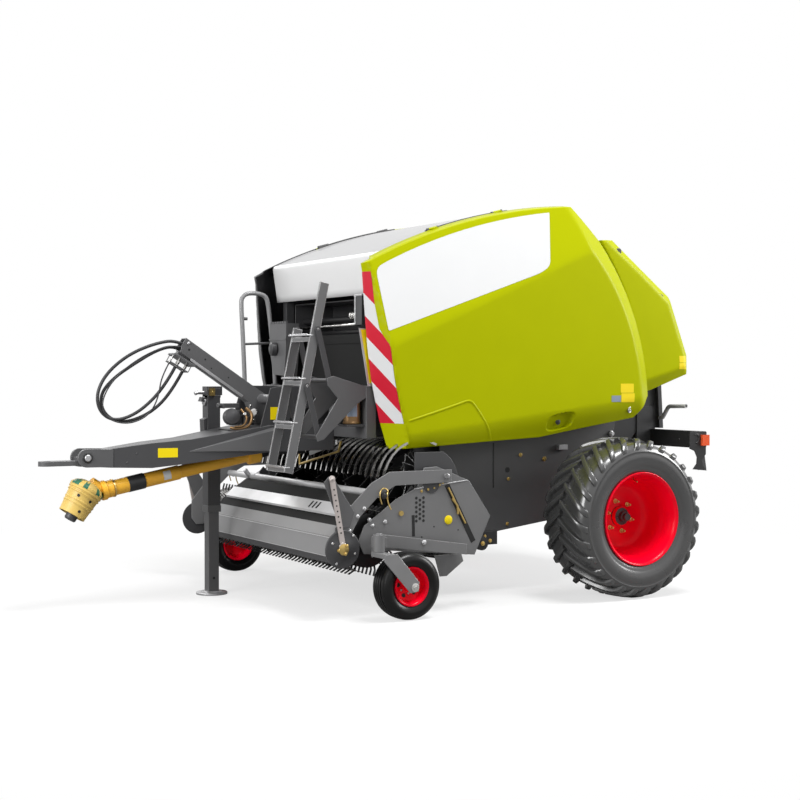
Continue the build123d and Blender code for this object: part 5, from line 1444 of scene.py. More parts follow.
def drawbar_side(name, side):
    """Jaw cheek with its pin, gusset, blank notices and bolts on one side of the drawbar."""
    jaw = bmesh.new()
    outline = [(1.785, 0.903), *arc(1.953, 0.962, 0.057, -84, 84), (1.785, 1.014)]
    add_slab(jaw, outline, side * 0.060, side * 0.080)
    new_piece(f"jaw_cheek_{name}", jaw, "frame", "grey")
    pin = bmesh.new()
    at = Vector((1.950, side * 0.079, 0.964))
    turned(pin, [(0, 0.032), (0.005, 0.032), (0.006, 0.029)], at, Vector((0, side, 0)), 28)
    new_piece(f"jaw_washer_{name}", pin, "frame", "black")
    make(f"jaw_pin_{name}", "frame", "bright", [
        (turned, [(0.005, 0.021), (0.013, 0.021), (0.016, 0.017)], at, Vector((0, side, 0)), 28),
    ])
    wedge = bmesh.new()
    low = bar_half(0.766) - 0.012
    v = [
        wedge.verts.new((x, side * y, z)) for x, y, z in (
            (1.322, bar_half(1.322) - 0.001, 0.990), (0.766, low, 1.142), (0.766, bar_half(0.766) + 0.034, 1.122),
            (0.766, bar_half(0.766) + 0.034, 0.988), (0.766, low, 0.974),
        )
    ]
    for i in range(1, 5):
        if i < 4:
            wedge.faces.new((v[0], v[i], v[i + 1]))
    wedge.faces.new((v[0], v[4], v[1]))
    wedge.faces.new((v[1], v[4], v[3], v[2]))
    new_piece(f"drawbar_gusset_{name}", wedge, "frame", "grey", sharp=15)
    corners = ((1.508, 0.956), (1.383, 0.956), (1.383, 1.015), (1.508, 1.015))
    spot = [(x, side * (bar_half(x) + 0.0008), z) for x, z in corners]
    flat_sticker(f"drawbar_notice_{name}", "frame", "sticker_yellow", spot, (0, side, 0))
    spot = [(x, side * 0.2350, z) for x, z in ((0.777, 1.187), (0.716, 1.187), (0.716, 1.268), (0.777, 1.268))]
    flat_sticker(f"gusset_notice_{name}", "frame", "sticker_yellow", spot, (0, side, 0))
    bolts = bmesh.new()
    for x, z in ((1.640, 0.985), (1.700, 0.930), (1.180, 1.012)):
        add_bolt(bolts, (x, side * (bar_half(x) - 0.001), z), (0.17, side, 0), 0.005)
    new_piece(f"drawbar_bolts_{name}", bolts, "frame", "dark")


for name, side in SIDES:
    drawbar_side(name, side)

# Hose arm: end bolts, lightening holes and the edge strip below
def hose_arm_side(name, side):
    """Lightening holes, bolts and edge strip on one side of the hose arm."""
    # Dark discs in the lightening holes: painted shade.
    marks = bmesh.new()
    for x, z, radius in (
        (1.259, 1.640, 0.0075), (1.148, 1.578, 0.006), (1.105, 1.520, 0.005), (0.985, 1.460, 0.005),
    ):
        turned(marks, [(0, radius), (0.0014, radius)], Vector((x, side * 0.0375, z)), Vector((0, side, 0)), 16)
    new_piece(f"arm_holes_{name}", marks, "frame", "seal")
    make(f"arm_bolts_{name}", "frame", "bright", [
        (
            add_bolts, [(1.262, 1.682, 0.008), (0.790, 1.240, 0.008), (0.745, 1.320, 0.008)], side * 0.0375,
            (0, side, 0),
        ),
    ])
    make(f"arm_strip_{name}", "frame", "bright", [
        (add_bar, (1.250, side * 0.036, 1.578), (0.885, side * 0.036, 1.337), 0.016, 0.008),
    ])


for name, side in SIDES:
    hose_arm_side(name, side)

# Power shaft: guard collars, dark band, blank label, ribbed cone with dark holes
SHAFT_START = Vector((1.841, 0, 0.751))
SHAFT_WAY = (Vector((0.752, 0, 0.958)) - SHAFT_START).normalized()
CONE_START = Vector((1.932, 0, 0.762))
CONE_WAY = Vector((0.107, 0, -0.170)).normalized()


def shaft_ring(name, steps, finish, sides=40):
    """Turned piece on the power shaft; steps are (distance behind its front, radius)."""
    bm = bmesh.new()
    turned(bm, steps, SHAFT_START, SHAFT_WAY, sides)
    return new_piece(name, bm, "frame", finish)


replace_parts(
    shaft_ring(
        "shaft_guard",
        [
            (0.0, 0.060), (0.006, 0.063), (0.030, 0.063), (0.036, 0.055), (0.074, 0.055), (0.078, 0.0495),
            (0.290, 0.0495), (0.294, 0.0465), (0.530, 0.0465), (0.534, 0.041), (1.020, 0.041), (1.026, 0.060),
            (1.100, 0.062), (1.106, 0.058),
        ],
        "yellow",
    ),
    "pto_shaft",
)
shaft_ring(
    "shaft_band", [(0.178, 0.0498), (0.179, 0.0508), (0.288, 0.0508), (0.289, 0.0498)], "black",
)
shaft_ring(
    "shaft_clip", [(0.076, 0.052), (0.078, 0.058), (0.086, 0.058), (0.088, 0.052)], "brass",
)
bm = bmesh.new()
label_side = SHAFT_WAY.cross(Vector((0, 1, 0))).normalized()
rows = []
for row in range(9):
    angle = math.radians(-30 + row * 9)
    out = Vector((0, 1, 0)) * math.cos(angle) - label_side * math.sin(angle)
    rows.append([bm.verts.new(SHAFT_START + SHAFT_WAY * along + out * 0.0474) for along in (0.412, 0.462)])
join_rows(bm, rows)
new_piece("shaft_notice", bm, "frame", "sticker_white")

make("guard_cone", "frame", "cone", [
    (
        turned,
        [
            (-0.050, 0.046), (-0.046, 0.060), (-0.030, 0.090), (-0.014, 0.103), (-0.008, 0.108), (0.022, 0.110),
            (0.026, 0.104), (0.034, 0.103), (0.036, 0.106), (0.042, 0.106), (0.046, 0.100), (0.082, 0.096),
            (0.085, 0.0985), (0.091, 0.098), (0.094, 0.0945), (0.104, 0.0935), (0.107, 0.096), (0.113, 0.0955),
            (0.116, 0.092), (0.172, 0.086), (0.177, 0.087), (0.181, 0.085), (0.180, 0.080), (0.130, 0.084),
            (0.070, 0.088),
        ],
        CONE_START, CONE_WAY, 48,
    ),
], stands_for="pto_yoke", sharp=40)
patches = make("guard_joint", "frame", "joint", [
    (
        turned,
        [
            (-0.044, 0.064), (-0.029, 0.0925), (-0.013, 0.1055), (-0.007, 0.1105), (0.006, 0.1115),
            (0.008, 0.108),
        ],
        CONE_START, CONE_WAY, 22,
    ),
])
patches.data.materials.append(MATERIALS["cone"])
for polygon in patches.data.polygons:
    if len(polygon.vertices) == 4 and (polygon.index * 7) % 11 < 5:
        polygon.material_index = 1
make("guard_neck", "frame", "yellow", [
    (add_pipe, (SHAFT_START, CONE_START + CONE_WAY * -0.040), 0.048, 24),
])
# Dark discs in the cone's holes and a dark ring in its mouth: painted shade.
holes = bmesh.new()
cone_side = CONE_WAY.cross(Vector((0, 1, 0))).normalized()
for along, radius, angle in (
    (0.062, 0.0975, -32), (0.062, 0.0975, 18), (0.146, 0.0880, 2), (0.062, 0.0975, 160), (0.146, 0.0880, 190),
):
    out = Vector((0, 1, 0)) * math.cos(math.radians(angle)) - cone_side * math.sin(math.radians(angle))
    turned(holes, [(-0.004, 0.0095), (0.0016, 0.0095)], CONE_START + CONE_WAY * along + out * radius, out, 20)
mouth = CONE_START + CONE_WAY * 0.150
turned(holes, [(0, 0.081), (0.004, 0.081)], mouth, CONE_WAY, 40)
new_piece("cone_holes", holes, "frame", "seal")
make("shaft_yoke", "frame", "dark", [
    (
        turned, [(0.150, 0.038), (0.206, 0.038), (0.214, 0.032), (0.214, 0.018), (0.180, 0.018)],
        CONE_START + Vector((0, 0.012, 0)), CONE_WAY, 28,
    ),
])

# Jack: crank box with its brass block and handle stub, flared body, leg hole and foot
make("jack_head", "frame", "dark", [
    (add_block, (0.915, -0.332, 1.325), (1.010, -0.248, 1.385)),
    (add_slab, [(1.010, 1.325), (1.040, 1.330), (1.052, 1.300), (1.010, 1.295)], -0.315, -0.265),
    (add_slab, [(1.008, 1.190), (1.036, 1.180), (1.030, 1.060), (1.008, 1.050)], -0.325, -0.255),
])
make("jack_crank", "frame", "bright", [
    (add_pipe, ((1.010, -0.290, 1.358), (1.062, -0.290, 1.360), (1.085, -0.290, 1.352)), 0.013, 14),
    (
        turned, [(0, 0.030), (0.010, 0.030), (0.012, 0.026)], Vector((1.012, -0.290, 1.30)), Vector((1, 0, 0)),
        24,
    ),
])
make("jack_block", "frame", "brass", [
    (add_block, (0.962, -0.247, 1.338), (0.998, -0.232, 1.388)),
    (add_bolt, (0.980, -0.233, 1.362), (0, 1, 0), 0.006),
])
make("jack_collar", "frame", "grey", [
    (add_block, (0.917, -0.338, 0.556), (1.013, -0.242, 0.600)),
])
# Dark disc in the leg's hole: painted shade.
make("jack_holes", "jack_leg", "seal", [
    (turned, [(0, 0.009), (0.0015, 0.009)], Vector((0.965, -0.2535, 0.110)), Vector((0, 1, 0)), 16),
])
make("jack_foot_plate", "jack_leg", "bright", [
    (
        turned, [(0.001, 0.1052), (0.013, 0.1052), (0.015, 0.101), (0.0155, 0.06)], Vector((0.965, -0.290, 0)),
        Vector((0, 0, 1)), 48,
    ),
    (add_block, (0.912, -0.343, 0.012), (1.018, -0.237, 0.022)),
])

# Hydraulics on the drawbar: round motor, valve block, fittings and pipes
make("valve_motor", "frame", "dark", [
    (
        turned,
        [
            (-0.045, 0.048), (-0.040, 0.054), (0.012, 0.054), (0.016, 0.050), (0.030, 0.050), (0.034, 0.030),
            (0.040, 0.018),
        ],
        Vector((0.972, 0.060, 1.205)), Vector((0.25, 1, 0.1)), 32,
    ),
    (add_block, (0.930, 0.010, 1.262), (1.040, 0.085, 1.292)),
    (add_block, (0.905, -0.040, 1.150), (0.965, 0.040, 1.245)),
    (add_block, (0.845, 0.060, 1.150), (0.900, 0.130, 1.205)),
    (
        turned, [(-0.02, 0.016), (0.03, 0.016), (0.034, 0.012)], Vector((1.040, 0.055, 1.276)),
        Vector((1, 0.2, 0.1)), 20,
    ),
])
make("valve_fittings", "frame", "chrome", [
    (
        turned, [(-0.030, 0.020), (0.0, 0.020), (0.002, 0.026), (0.018, 0.026), (0.020, 0.016), (0.032, 0.016)],
        Vector((0.838, 0.110, 1.232)), Vector((0.3, 1, 0)), 18,
    ),
    (
        turned, [(0, 0.011), (0.040, 0.011), (0.042, 0.009)], Vector((0.905, 0.100, 1.212)),
        Vector((0.2, 1, 0.35)), 12,
    ),
    (
        turned, [(0, 0.009), (0.022, 0.009), (0.024, 0.007)], Vector((0.870, 0.120, 1.262)),
        Vector((0, 0.3, 1)), 12,
    ),
    (add_bolt, (0.852, 0.131, 1.180), (0, 1, 0), 0.011),
])
make("valve_pipes", "frame", "copper", [
    (
        add_pipe,
        smoothed(
            [
                (0.900, 0.120, 1.262), (0.868, 0.140, 1.225), (0.876, 0.150, 1.172), (0.905, 0.148, 1.140),
                (0.960, 0.130, 1.128), (1.000, 0.100, 1.135),
            ],
            6,
        ),
        0.0095, 12,
    ),
    (
        add_pipe,
        smoothed(
            [(0.930, 0.110, 1.255), (0.903, 0.140, 1.200), (0.930, 0.150, 1.150), (0.985, 0.130, 1.140)], 6,
        ),
        0.007, 12,
    ),
])

# Frame front: oil can, side strip with its blank notice, net housing panel in near-black painted shade, lip and
# rods, notched box
make("oil_can", "frame", "copper", [
    (
        turned,
        [
            (1.165, 0.046), (1.168, 0.056), (1.178, 0.058), (1.182, 0.054), (1.352, 0.054), (1.356, 0.058),
            (1.366, 0.058), (1.372, 0.050), (1.374, 0.030),
        ],
        Vector((0.424, 0.690, 0)), Vector((0, 0, 1)), 40,
    ),
], stands_for="oil_canister")
bm = bmesh.new()
rows = []
for step in range(9):
    angle = math.radians(28 + step * 9)
    x, y = 0.424 + 0.0545 * math.cos(angle), 0.690 + 0.0545 * math.sin(angle)
    rows.append([bm.verts.new((x, y, z)) for z in (1.215, 1.330)])
join_rows(bm, rows)
new_piece("oil_can_label", bm, "frame", "sticker_blue")
make("oil_can_bracket", "frame", "dark", [
    (add_block, (0.360, 0.640, 1.150), (0.490, 0.745, 1.164)),
    (add_block, (0.360, 0.640, 1.376), (0.470, 0.740, 1.386)),
    (add_block, (0.361, 0.610, 1.150), (0.372, 0.640, 1.386)),
])
strip = bmesh.new()
v = [(0.300, 1.405), (0.352, 1.405), (0.416, 1.772), (0.300, 1.772)]
add_slab(strip, v, 0.7655, 0.7715)
new_piece("side_strip", strip, "frame", "bright")
flat_sticker(
    "side_strip_notice", "frame", "sticker_yellow",
    [(0.341, 0.7717, 1.425), (0.310, 0.7717, 1.425), (0.366, 0.7717, 1.765), (0.403, 0.7717, 1.765)], (0, 1, 0),
)
make("net_panel", "frame", "shade", [
    (add_slab, [(0.146, 1.412), (0.150, 1.412), (0.150, 1.752), (0.146, 1.752)], -0.655, 0.662),
    (add_block, (0.150, 0.640, 1.412), (0.160, 0.662, 1.752)),
    (add_block, (0.150, -0.655, 1.412), (0.160, -0.633, 1.752)),
    (add_block, (0.150, -0.633, 1.690), (0.156, 0.640, 1.700)),
])
lip = bmesh.new()
add_pipe(
    lip,
    smoothed([(0.152, -0.655, 1.806), (0.158, -0.20, 1.810), (0.160, 0.20, 1.815), (0.152, 0.662, 1.822)], 6),
    0.011, 12,
)
add_pipe(lip, ((0.120, 0.18, 1.880), (0.120, 0.668, 1.880)), 0.017, 16)
for y in (0.16, 0.19, 0.22):
    turned(
        lip, [(-0.008, 0.030), (-0.004, 0.034), (0.004, 0.034), (0.008, 0.030)], Vector((0.120, y, 1.880)),
        Vector((0, 1, 0)), 9,
    )
add_pipe(lip, ((0.130, 0.42, 1.880), (0.130, 0.42, 1.985)), 0.006, 10)
new_piece("net_lip", lip, "frame", "chrome")
make("net_post", "frame", "dark", [(add_block, (0.250, 0.560, 1.800), (0.330, 0.650, 1.985))])
make("net_post_cap", "frame", "bright", [
    (add_block, (0.246, 0.556, 1.985), (0.334, 0.654, 1.995)),
    (add_block, (0.330, 0.560, 1.800), (0.334, 0.572, 1.985)),
])
case = bmesh.new()
outline = [(-0.660, 1.840), (-0.660, 1.640), (-0.600, 1.480), (-0.430, 1.470), (-0.400, 1.640), (-0.395, 1.840)]
front = [case.verts.new((0.352, y, z)) for y, z in outline]
back = [case.verts.new((0.250, y, z)) for y, z in outline]
join_rings(case, [front, back])
for number in range(7):
    y = -0.655 + number * 0.0385
    add_block(case, (0.336, y, 1.838), (0.352, y + 0.022, 1.854))
add_block(case, (0.352, -0.662, 1.722), (0.358, -0.393, 1.732))
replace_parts(new_piece("notched_box", case, "frame", "case"), "control_box")
make("box_lamp", "frame", "dark", [
    (
        turned, [(0, 0.048), (0.035, 0.048), (0.042, 0.040), (0.048, 0.022)], Vector((0.352, -0.560, 1.660)),
        Vector((1, -0.25, 0)), 28,
    ),
])
grip = bmesh.new()
route = (
    (0.532, 1.390), (0.533, 1.480), (0.545, 1.750), (0.556, 1.975), (0.545, 2.030), (0.512, 2.054),
    (0.461, 2.060), (0.405, 2.054), (0.368, 2.036), (0.350, 1.995), (0.335, 1.900), (0.303, 1.610),
    (0.290, 1.400),
)
add_pipe(grip, smoothed([(x, -0.700, z) for x, z in route], 4), 0.016, 16)
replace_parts(new_piece("handrail_tube", grip, "frame", "rail"), "handrail")
make("handrail_rod", "frame", "grey", [
    (add_pipe, ((0.541, -0.700, 1.696), (0.313, -0.700, 1.706)), 0.009, 12),
    (add_pipe, ((0.550, -0.700, 1.877), (0.512, -0.700, 1.877)), 0.012, 12),
    (add_block, (0.515, -0.722, 1.300), (0.552, -0.716, 1.420)),
    (add_block, (0.270, -0.722, 1.404), (0.310, -0.678, 1.412)),
])

# Crop guard: bright tube, narrow folded strip, main sheet with its lip, side arms, end discs and links; the sheet's
# top ledge is painted lighter and its lip darker, with thin light lines as painted highlights on its crease and
# lower edge
GUARD_ARM = (
    (-0.060, 0.885), (0.390, 0.885), (0.520, 0.820), (0.660, 0.690), (0.770, 0.560), (0.770, 0.430),
    (0.735, 0.385), (0.640, 0.385), (0.660, 0.520), (0.600, 0.620), (0.480, 0.730), (0.350, 0.800),
    (-0.060, 0.805),
)


def folded(bm, line, thick, y_low, y_high):
    """Thin bent sheet along a line of the side view."""
    points = [Vector(p) for p in line]
    under = []
    for i, here in enumerate(points):
        before, after = points[max(i - 1, 0)], points[min(i + 1, len(points) - 1)]
        way = (after - before).normalized()
        under.append(here - Vector((-way.y, way.x)) * -thick)
    add_slab(bm, [tuple(p) for p in points] + [tuple(p) for p in reversed(under)], y_low, y_high)


FAR_END = -0.760
# Guard sheet in three finishes: top ledge lighter as painted light, lip dark as painted shade.
for part, line, finish in (
    ("guard_ledge", [(0.738, 0.561), (0.752, 0.574), (0.784, 0.512)], "ledge"),
    ("guard_sheet", [(0.784, 0.512), (0.789, 0.502), (0.816, 0.392)], "pickup"),
    ("guard_lip", [(0.8140, 0.390), (0.798, 0.350), (0.792, 0.350)], "dark"),
):
    make(part, "windguard", finish, [
        (folded, line, -0.004, FAR_END, 1.104),
    ], stands_for="windguard", sharp=20)
# Thin light-grey lines on the crease and the lower edge: painted highlights.
for part, x, z in (("guard_crease_highlight", 0.7895, 0.5015), ("guard_edge_highlight", 0.8145, 0.3930)):
    make(part, "windguard", "pale_steel", [
        (add_pipe, ((x, FAR_END, z), (x, 1.104, z)), 0.0018, 8),
    ])
make("guard_strip", "windguard", "pale_steel", [
    (folded, [(0.628, 0.676), (0.643, 0.690), (0.704, 0.632), (0.700, 0.618)], -0.004, -0.640, 1.104),
], stands_for="windguard", sharp=20)
# Near-black sheet behind the guard's strip: painted shade.
make("guard_back", "windguard", "shade", [
    (
        folded, [(0.500, 0.738), (0.590, 0.694), (0.640, 0.664), (0.697, 0.608), (0.744, 0.556)], -0.003,
        -0.700, 1.104,
    ),
], stands_for="windguard", sharp=20)
# Dark bars in the guard's slots: painted shade.
slots = bmesh.new()
for y in (0.610, 0.660, 0.710):
    a, b = Vector((0.655, y, 0.6805)), Vector((0.692, y, 0.6455))
    add_bar(slots, a + Vector((0.0008, 0, 0.0008)), b + Vector((0.0008, 0, 0.0008)), 0.0015, 0.016)
new_piece("guard_slots", slots, "windguard", "seal")
make("guard_tube", "windguard", "pale_steel", [
    (add_pipe, ((0.465, -1.104, 0.752), (0.465, 1.104, 0.752)), 0.022, 20),
], stands_for="windguard")
make("guard_clamp", "windguard", "bright", [
    (add_bar, (0.530, -0.700, 0.800), (0.430, -0.760, 0.690), 0.030, 0.012),
    (add_bar, (0.470, -0.640, 0.775), (0.455, -0.610, 0.730), 0.040, 0.012),
])


def crop_guard_side(name, side):
    """Arm, disc, bearing, link and clip at one end of the crop guard."""
    make(f"guard_arm_{name}", "windguard", "pickup", [
        (add_slab, GUARD_ARM, side * 1.104, side * 1.112),
    ], stands_for="windguard")
    out = Vector((0, side, 0))
    make(f"guard_disc_{name}", "windguard", "dark", [
        (
            lathe,
            (
                (0.0, 0.0), (0.0, 0.012), (0.060, 0.012), (0.066, 0.009), (0.112, 0.009), (0.117, 0.005),
                (0.117, 0.0),
            ),
            (0.722, side * 1.112, 0.431), 48, side,
        ),
    ], stands_for="windguard")
    make(f"guard_bearing_{name}", "windguard", "brass", [
        (turned, [(0, 0.034), (0.006, 0.034), (0.008, 0.029)], Vector((0.722, side * 1.130, 0.431)), out, 28),
        (add_bolts, [(0.705, 0.452, 0.010), (0.760, 0.428, 0.008), (0.712, 0.405, 0.009)], side * 1.137, out),
    ])
    make(f"guard_bolts_{name}", "windguard", "bright", [
        (
            add_bolts,
            [(0.792, 0.470, 0.006), (0.650, 0.510, 0.006), (0.765, 0.345, 0.006), (0.640, 0.400, 0.006)],
            side * 1.120, out,
        ),
        (
            add_bolts,
            [
                (0.569, 0.669, 0.010), (0.615, 0.623, 0.010), (0.668, 0.540, 0.008), (-0.030, 0.845, 0.012),
                (0.720, 0.470, 0.007),
            ],
            side * 1.1115, out,
        ),
    ])
    make(f"guard_link_{name}", "windguard", "linkage", [
        (add_bar, (0.728, side * 1.126, 0.470), (0.798, side * 1.126, 0.855), 0.034, 0.008),
        (turned, [(0, 0.020), (0.008, 0.020), (0.009, 0.017)], Vector((0.799, side * 1.122, 0.858)), out, 24),
        (turned, [(0, 0.026), (0.010, 0.026)], Vector((0.724, side * 1.122, 0.446)), out, 24),
        (add_bolt, (0.799, side * 1.131, 0.858), out, 0.008),
    ], stands_for="windguard")
    # Dark discs in the link's holes: painted shade.
    holes = bmesh.new()
    for number in range(9):
        t = 0.16 + number * 0.085
        turned(
            holes, [(0, 0.0052), (0.001, 0.0052)],
            Vector((0.728 + 0.070 * t, side * 1.1302, 0.470 + 0.385 * t)), out, 12,
        )
    new_piece(f"link_holes_{name}", holes, "windguard", "seal")
    make(f"guard_wing_{name}", "windguard", "grey", [
        (
            add_slab,
            ((0.848, 0.835), (0.815, 0.872), (0.775, 0.850), (0.640, 0.650), (0.670, 0.560), (0.735, 0.560)),
            side * 1.1125, side * 1.1175,
        ),
    ])
    clip = bmesh.new()
    spots = [
        (0.452, 0.690), (0.465, 0.740), (0.455, 0.778), (0.432, 0.786), (0.410, 0.768), (0.414, 0.735),
        (0.405, 0.690), (0.388, 0.655),
    ]
    add_pipe(clip, smoothed([(x, side * 1.121, z) for x, z in spots], 5), 0.0042, 10)
    new_piece(f"spring_clip_{name}", clip, "windguard", "brass")
    make(f"arm_knob_{name}", "windguard", "black", [
        (
            turned, [(0, 0.021), (0.008, 0.021), (0.010, 0.012), (0.018, 0.012)],
            Vector((0.433, side * 1.112, 0.742)), out, 20,
        ),
    ])


for name, side in SIDES:
    crop_guard_side(name, side)

# Pickup sides: punched holes, slots, marker dot, brass rods, second plate and bolts
def pickup_side(name, side):
    """Openings, rods, strut and bolts on one of the pickup's sides."""
    out = Vector((0, side, 0))
    # Dark hexagons and bars in the punched holes and slots, and dark dots: painted shade.
    marks = bmesh.new()
    for column, x in enumerate((0.189, 0.163, 0.137)):
        for row in range(6 - column % 2):
            z = 0.572 + 0.0285 * row + 0.0142 * (column % 2)
            turned(marks, [(0, 0.0098), (0.0012, 0.0098)], Vector((x, side * 1.092, z)), out, 6, 0.5)
    add_bar(marks, (0.212, side * 1.0925, 0.610), (0.209, side * 1.0925, 0.478), 0.020, 0.0015)
    add_bar(marks, (-0.035, side * 1.0925, 0.790), (-0.235, side * 1.0925, 0.420), 0.036, 0.0015)
    for x, z in ((0.150, 0.470), (-0.120, 0.500), (0.060, 0.530)):
        turned(marks, [(0, 0.0045), (0.0012, 0.0045)], Vector((x, side * 1.092, z)), out, 12)
    new_piece(f"side_openings_{name}", marks, "pickup", "seal")
    make(f"marker_dot_{name}", "pickup", "sticker_yellow", [
        (
            turned, [(0, 0.0285), (0.003, 0.0285), (0.006, 0.023)], Vector((-0.047, side * 1.092, 0.567)), out,
            32,
        ),
    ])
    make(f"side_rods_{name}", "pickup", "brass", [
        (add_pipe, ((-0.042, side * 1.099, 0.772), (-0.170, side * 1.099, 0.540)), 0.006, 10),
        (
            add_pipe,
            ((-0.070, side * 1.099, 0.700), (-0.110, side * 1.099, 0.655), (-0.115, side * 1.099, 0.600)),
            0.007, 10,
        ),
        (
            add_bolts,
            [
                (0.105, 0.765, 0.009), (0.150, 0.755, 0.007), (0.060, 0.772, 0.007), (0.020, 0.790, 0.008),
                (-0.005, 0.800, 0.007),
            ],
            side * 1.0915, out,
        ),
    ])
    make(f"side_edge_{name}", "pickup", "bright", [
        (add_bar, (0.205, side * 1.093, 0.772), (-0.190, side * 1.093, 0.812), 0.006, 0.004),
    ])
    make(f"side_strut_{name}", "pickup", "dark", [
        (add_bar, (0.425, side * 1.072, 0.498), (0.180, side * 1.072, 0.762), 0.085, 0.008),
    ])
    make(f"strut_hub_{name}", "pickup", "brass", [
        (
            turned, [(0, 0.022), (0.010, 0.022), (0.012, 0.016), (0.022, 0.016)],
            Vector((0.300, side * 1.078, 0.625)), out, 20,
        ),
        (add_bolt, (0.327, side * 1.078, 0.590), out, 0.008),
    ])
    make(f"side_bolts_{name}", "pickup", "bright", [
        (add_bolts, [(0.523, 0.596, 0.011), (0.413, 0.578, 0.011), (0.500, 0.560, 0.009)], side * 1.0915, out),
        (
            turned, [(0, 0.016), (0.003, 0.016), (0.004, 0.011), (0.010, 0.011)],
            Vector((0.186, side * 1.178, 0.447)), out, 20,
        ),
    ])
    make(f"sleeve_gusset_{name}", "pickup", "pickup", [
        (
            add_slab, ((0.535, 0.437), (0.500, 0.437), (0.515, 0.385), (0.535, 0.372)), side * 1.140,
            side * 1.148,
        ),
    ])
    end = bmesh.new()
    at = Vector((0.360, side * 1.360, 0.205))
    turned(end, [(0, 0.026), (0.004, 0.026), (0.005, 0.022)], at, out, 28)
    turned(end, [(0.004, 0.013), (0.012, 0.013), (0.014, 0.010)], at, out, 6)
    new_piece(f"caster_bolt_{name}", end, f"caster_{name}", "chrome")


for name, side in SIDES:
    pickup_side(name, side)

# Reel: denser rows of black spring tines round a dark core
tines = bmesh.new()
for row in range(8):
    base = math.radians(45 * row + 22)
    for number in range(42):
        y = (number - 20.5) * 0.0485
        for shift in (-0.0065, 0.0065):
            spots = []
            for radius, lag in ((0.075, 0.0), (0.150, 0.02), (0.200, -0.04), (0.232, -0.14)):
                angle = base - lag
                spots.append((0.500 + radius * math.cos(angle), y + shift, 0.460 + radius * math.sin(angle)))
            add_pipe(tines, spots, 0.0036, 5)
turned(tines, [(-1.030, 0.165), (1.030, 0.165)], Vector((0.500, 0, 0.460)), Vector((0, 1, 0)), 24)
new_piece("tine_rows", tines, "reel", "tine")

# Rods and pale strip ahead of the rotor, and the stripper bars bent round it
make("frame_struts", "frame", "brass", [
    (add_pipe, ((0.345, -0.201, 0.861), (0.345, 0.367, 0.976), (0.345, 0.401, 1.043)), 0.0085, 8),
    (add_pipe, ((0.345, -0.208, 0.976), (0.345, -0.201, 0.861)), 0.0075, 8),
])
make("strut_guard", "frame", "white", [
    (add_bar, (0.345, -0.05, 0.943), (0.345, 0.344, 1.036), 0.030, 0.006, (1, 0, 0)),
])
strippers = bmesh.new()
for number in range(26):
    y = (number - 12.5) * 0.076
    if abs(y) > 0.99:
        continue
    rows = []
    for step in range(11):
        angle = math.radians(8 + step * 11)
        row = []
        for radius, across in ((0.258, -0.006), (0.258, 0.006), (0.272, 0.006), (0.272, -0.006)):
            row.append(
                strippers.verts.new(
                    (0.080 + radius * math.cos(angle), y + across, 0.800 + radius * math.sin(angle)),
                ),
            )
        rows.append(row)
    join_rings(strippers, rows)
new_piece("stripper_bars", strippers, "frame", "chrome")

# Ladder treads and bolts
treads = bmesh.new()
for x, z in ((0.742, 1.716), (0.794, 1.446), (0.852, 1.172), (0.905, 0.896)):
    add_block(treads, (x - 0.020, 0.474, z + 0.006), (x + 0.022, 0.736, z + 0.014))
    for number in range(8):
        y = 0.486 + number * 0.032
        add_block(treads, (x + 0.014, y, z + 0.014), (x + 0.022, y + 0.014, z + 0.020))
new_piece("ladder_treads", treads, "ladder", "bright")


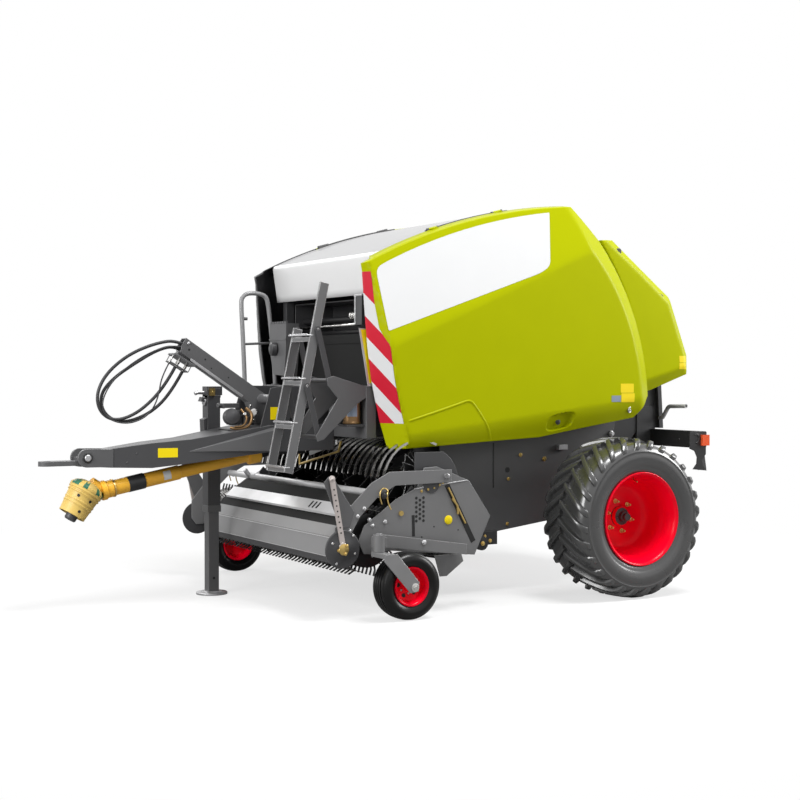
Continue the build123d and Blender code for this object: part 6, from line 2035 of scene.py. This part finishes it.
# Left side plate and rear: bolts, fittings, holes and the lamp bar's dark hook
def plate_side(name, side):
    """Fittings and openings of one side plate, and the hook of the lamp bar."""
    out = Vector((0, side, 0))
    make(f"plate_fittings_{name}", "frame", "brass", [
        (
            add_bolts,
            [
                (-0.862, 0.934, 0.011), (-0.763, 0.775, 0.010), (-1.063, 0.901, 0.013), (-0.755, 0.471, 0.010),
                (-0.560, 0.470, 0.009), (-0.430, 0.700, 0.009),
            ],
            side * 0.7245, out,
        ),
    ])
    # Dark disc and bar in a hole and a slit: painted shade.
    make(f"plate_openings_{name}", "frame", "seal", [
        (turned, [(0, 0.018), (0.0014, 0.018)], Vector((-0.755, side * 0.725, 0.836)), out, 24),
        (add_bar, (-0.640, side * 0.7255, 1.020), (-0.640, side * 0.7255, 0.720), 0.010, 0.0012),
    ])
    make(f"plate_bracket_{name}", "frame", "bright", [
        (
            add_block, (-1.235, min(side * 0.725, side * 0.760), 0.962),
            (-1.165, max(side * 0.725, side * 0.760), 0.996),
        ),
        (
            turned, [(0, 0.020), (0.014, 0.020), (0.016, 0.014), (0.026, 0.014)],
            Vector((-1.640, side * 0.725, 1.063)), out, 20,
        ),
    ])
    lamp = bmesh.new()
    spots = [(-2.030, 1.062), (-2.055, 1.064), (-2.068, 1.045), (-2.064, 1.020), (-2.045, 1.002)]
    add_pipe(lamp, smoothed([(x, side * 1.1625, z) for x, z in spots], 4), 0.005, 10)
    for y in (0.30, 0.62, 0.94):
        add_bolt(lamp, (-2.0895, side * y, 1.020), (1, 0, 0), 0.009)
    new_piece(f"lamp_hook_{name}", lamp, "tailgate", "black")


for name, side in SIDES:
    plate_side(name, side)

cover = bmesh.new()
add_block(cover, (-2.134, -1.150, 0.966), (-2.086, 1.150, 1.084))
for name, side in SIDES:
    add_slab(
        cover,
        [
            (-1.985, 1.084), (-2.134, 1.084), (-2.134, 0.925), (-2.100, 0.885), (-2.108, 0.850),
            (-2.143, 0.809), (-2.014, 0.822), (-2.048, 0.860), (-2.052, 0.905), (-2.030, 0.948),
            (-1.985, 0.966),
        ],
        min(side * 1.1565, side * 1.1615), max(side * 1.1565, side * 1.1615),
    )
new_piece("lamp_bar_cover", cover, "tailgate", "black")


def side_drive(name, side):
    """Skirt, drive cover and bolts behind one of the pickup's sides."""
    out = Vector((0, side, 0))
    make(f"side_skirt_{name}", "pickup", "pickup", [
        (
            add_slab, [(0.060, 0.350), (-0.140, 0.350), (-0.155, 0.302), (-0.030, 0.215), (0.020, 0.215)],
            min(side * 1.094, side * 1.100), max(side * 1.094, side * 1.100),
        ),
    ])
    make(f"side_drive_{name}", "pickup", "black", [
        (
            add_block, (-0.455, min(side * 0.980, side * 1.040), 0.385),
            (-0.300, max(side * 0.980, side * 1.040), 0.470),
        ),
        (turned, [(0, 0.045), (0.030, 0.045), (0.034, 0.030)], Vector((-0.320, side * 1.040, 0.400)), out, 24),
    ])
    parts = bmesh.new()
    for x, z, radius in (
        (-0.320, 0.400, 0.012), (-0.360, 0.440, 0.008), (-0.400, 0.410, 0.010), (-0.290, 0.370, 0.008),
    ):
        add_bolt(parts, (x, side * (1.074 if radius > 0.011 else 1.040), z), out, radius)
    new_piece(f"drive_bolts_{name}", parts, "pickup", "brass")


for name, side in SIDES:
    side_drive(name, side)
